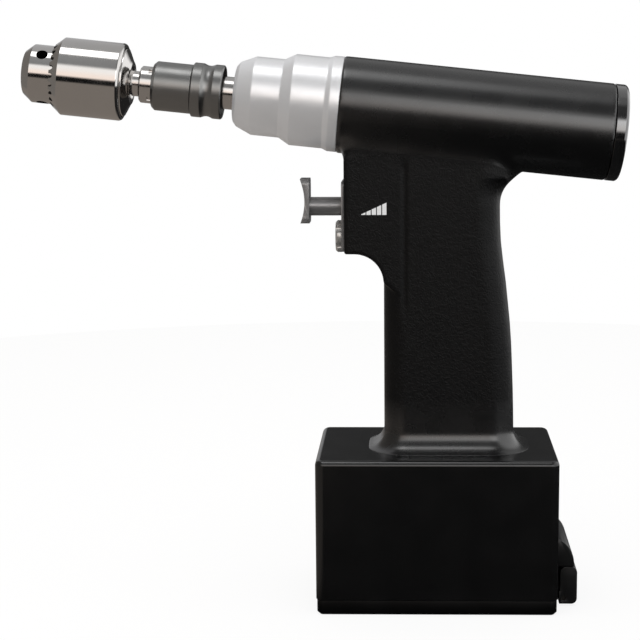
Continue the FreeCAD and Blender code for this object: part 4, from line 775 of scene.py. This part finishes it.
world = bpy.data.worlds.new("studio")
world.use_nodes = True
bpy.context.scene.world = world
nodes, links = world.node_tree.nodes, world.node_tree.links
backdrop = nodes["Background"]
backdrop.inputs["Color"].default_value = (1, 1, 1, 1)
backdrop.inputs["Strength"].default_value = 1
direction = nodes.new("ShaderNodeSeparateXYZ")
links.new(nodes.new("ShaderNodeTexCoord").outputs["Generated"], direction.inputs["Vector"])
height = spread(nodes, links, direction.outputs["Z"], 0, 1, -1, 1)


def band_ramp(stops):
    """A colour ramp over the height of a ray, from straight down to straight up."""
    ramp = nodes.new("ShaderNodeValToRGB")
    ramp.color_ramp.interpolation = "EASE"
    while len(ramp.color_ramp.elements) < len(stops):
        ramp.color_ramp.elements.new(0.5)
    for element, (degrees, colour) in zip(ramp.color_ramp.elements, stops):
        element.position = (math.sin(math.radians(degrees)) + 1) / 2
        element.color = (*colour, 1)
    links.new(height, ramp.inputs["Fac"])
    return ramp.outputs["Color"]


LEFT_BANDS = ((-90, WARM_GREY), (-15, WARM_GREY), (-10, (0.01, 0.01, 0.01)),
              (0, (0.01, 0.01, 0.01)), (7, (1.5, 1.30, 1.18)), (31, (1.42, 1.40, 1.38)),
              (42, (0.33, 0.335, 0.34)), (68, (0.37, 0.375, 0.38)), (75, (4.0, 4.0, 4.0)))
RIGHT_BANDS = ((-90, (0.02, 0.02, 0.02)), (-18, (0.02, 0.02, 0.02)), (-12, (0.012, 0.012, 0.012)),
               (0, (0.02, 0.02, 0.02)), (10, (2.8, 2.75, 2.7)), (27, (3.0, 3.0, 3.0)),
               (37, (0.08, 0.08, 0.08)), (62, (0.12, 0.12, 0.12)), (72, (0.35, 0.35, 0.35)))
BACK_LEFT = ((-90, (0.5, 0.5, 0.5)), (90, (0.55, 0.55, 0.56)))
BACK_RIGHT = ((-90, (0.03, 0.03, 0.03)), (12, (0.05, 0.05, 0.05)), (26, (0.10, 0.10, 0.10)),
              (34, (0.5, 0.5, 0.5)), (90, (0.5, 0.5, 0.5)))
rightward = spread(nodes, links, direction.outputs["X"], 0, 1, -0.12, 0.22)
front = mixed_colour(nodes, links, rightward, band_ramp(LEFT_BANDS), band_ramp(RIGHT_BANDS))
back_right = spread(nodes, links, direction.outputs["X"], 0, 1, -0.16, -0.09)
back = mixed_colour(nodes, links, back_right, band_ramp(BACK_LEFT), band_ramp(BACK_RIGHT))
rearward = spread(nodes, links, direction.outputs["Y"], 0, 1, 0.03, 0.10)
behind = mixed_colour(nodes, links, rearward, front, back)
far_right = spread(nodes, links, direction.outputs["X"], 0, 1, 0.40, 0.60)
beside = mixed_colour(nodes, links, far_right, behind, (1.3, 1.3, 1.3))
far_left = spread(nodes, links, direction.outputs["X"], 1, 0, -0.55, -0.35)
reflected = mixed_colour(nodes, links, far_left, beside, (0.22, 0.205, 0.19))
studio = nodes.new("ShaderNodeBackground")
links.new(reflected, studio.inputs["Color"])
dome = nodes.new("ShaderNodeBackground")
dome.inputs["Color"].default_value = (0.72, 0.72, 0.72, 1)
ray = nodes.new("ShaderNodeLightPath")
around = mixed_shader(nodes, links, ray.outputs["Is Glossy Ray"], dome.outputs["Background"],
                      studio.outputs["Background"])
seen = mixed_shader(nodes, links, ray.outputs["Is Camera Ray"], around, backdrop.outputs["Background"])
links.new(seen, nodes["World Output"].inputs["Surface"])

lamp = bpy.data.lights.new("overhead", "AREA")
lamp.shape = "SQUARE"
lamp.size = 0.7
lamp.energy = 5
light = bpy.data.objects.new("overhead", lamp)
light.location = (-0.1, -0.15, 0.95)
light.visible_glossy = False
light.rotation_euler = (Vector((0, 0, 0.12)) - light.location).to_track_quat("-Z", "Y").to_euler()
bpy.context.scene.collection.objects.link(light)

# Camera: level with the barrel and 0.67 m in front, looking slightly down.
camera_data = bpy.data.cameras.new("camera")
camera_data.lens = 90.28
camera_data.sensor_width = 36
camera_data.shift_x = -0.09
camera = bpy.data.objects.new("camera", camera_data)
yaw, pitch, roll = (math.radians(a) for a in (-1.3663, 8.9659, -0.245))
forward = Vector((math.sin(yaw) * math.cos(pitch), math.cos(yaw) * math.cos(pitch), -math.sin(pitch)))
right = Vector((math.cos(yaw), -math.sin(yaw), 0))
up = right.cross(forward)
side = math.cos(roll) * right + math.sin(roll) * up
top = -math.sin(roll) * right + math.cos(roll) * up
turned = Matrix((side, top, -forward)).transposed().to_4x4()
camera.matrix_world = Matrix.Translation((-8.83 * MM, -670.95 * MM, 224.8 * MM)) @ turned
bpy.context.scene.collection.objects.link(camera)
bpy.context.scene.camera = camera
bpy.context.scene.view_settings.view_transform = "Standard"
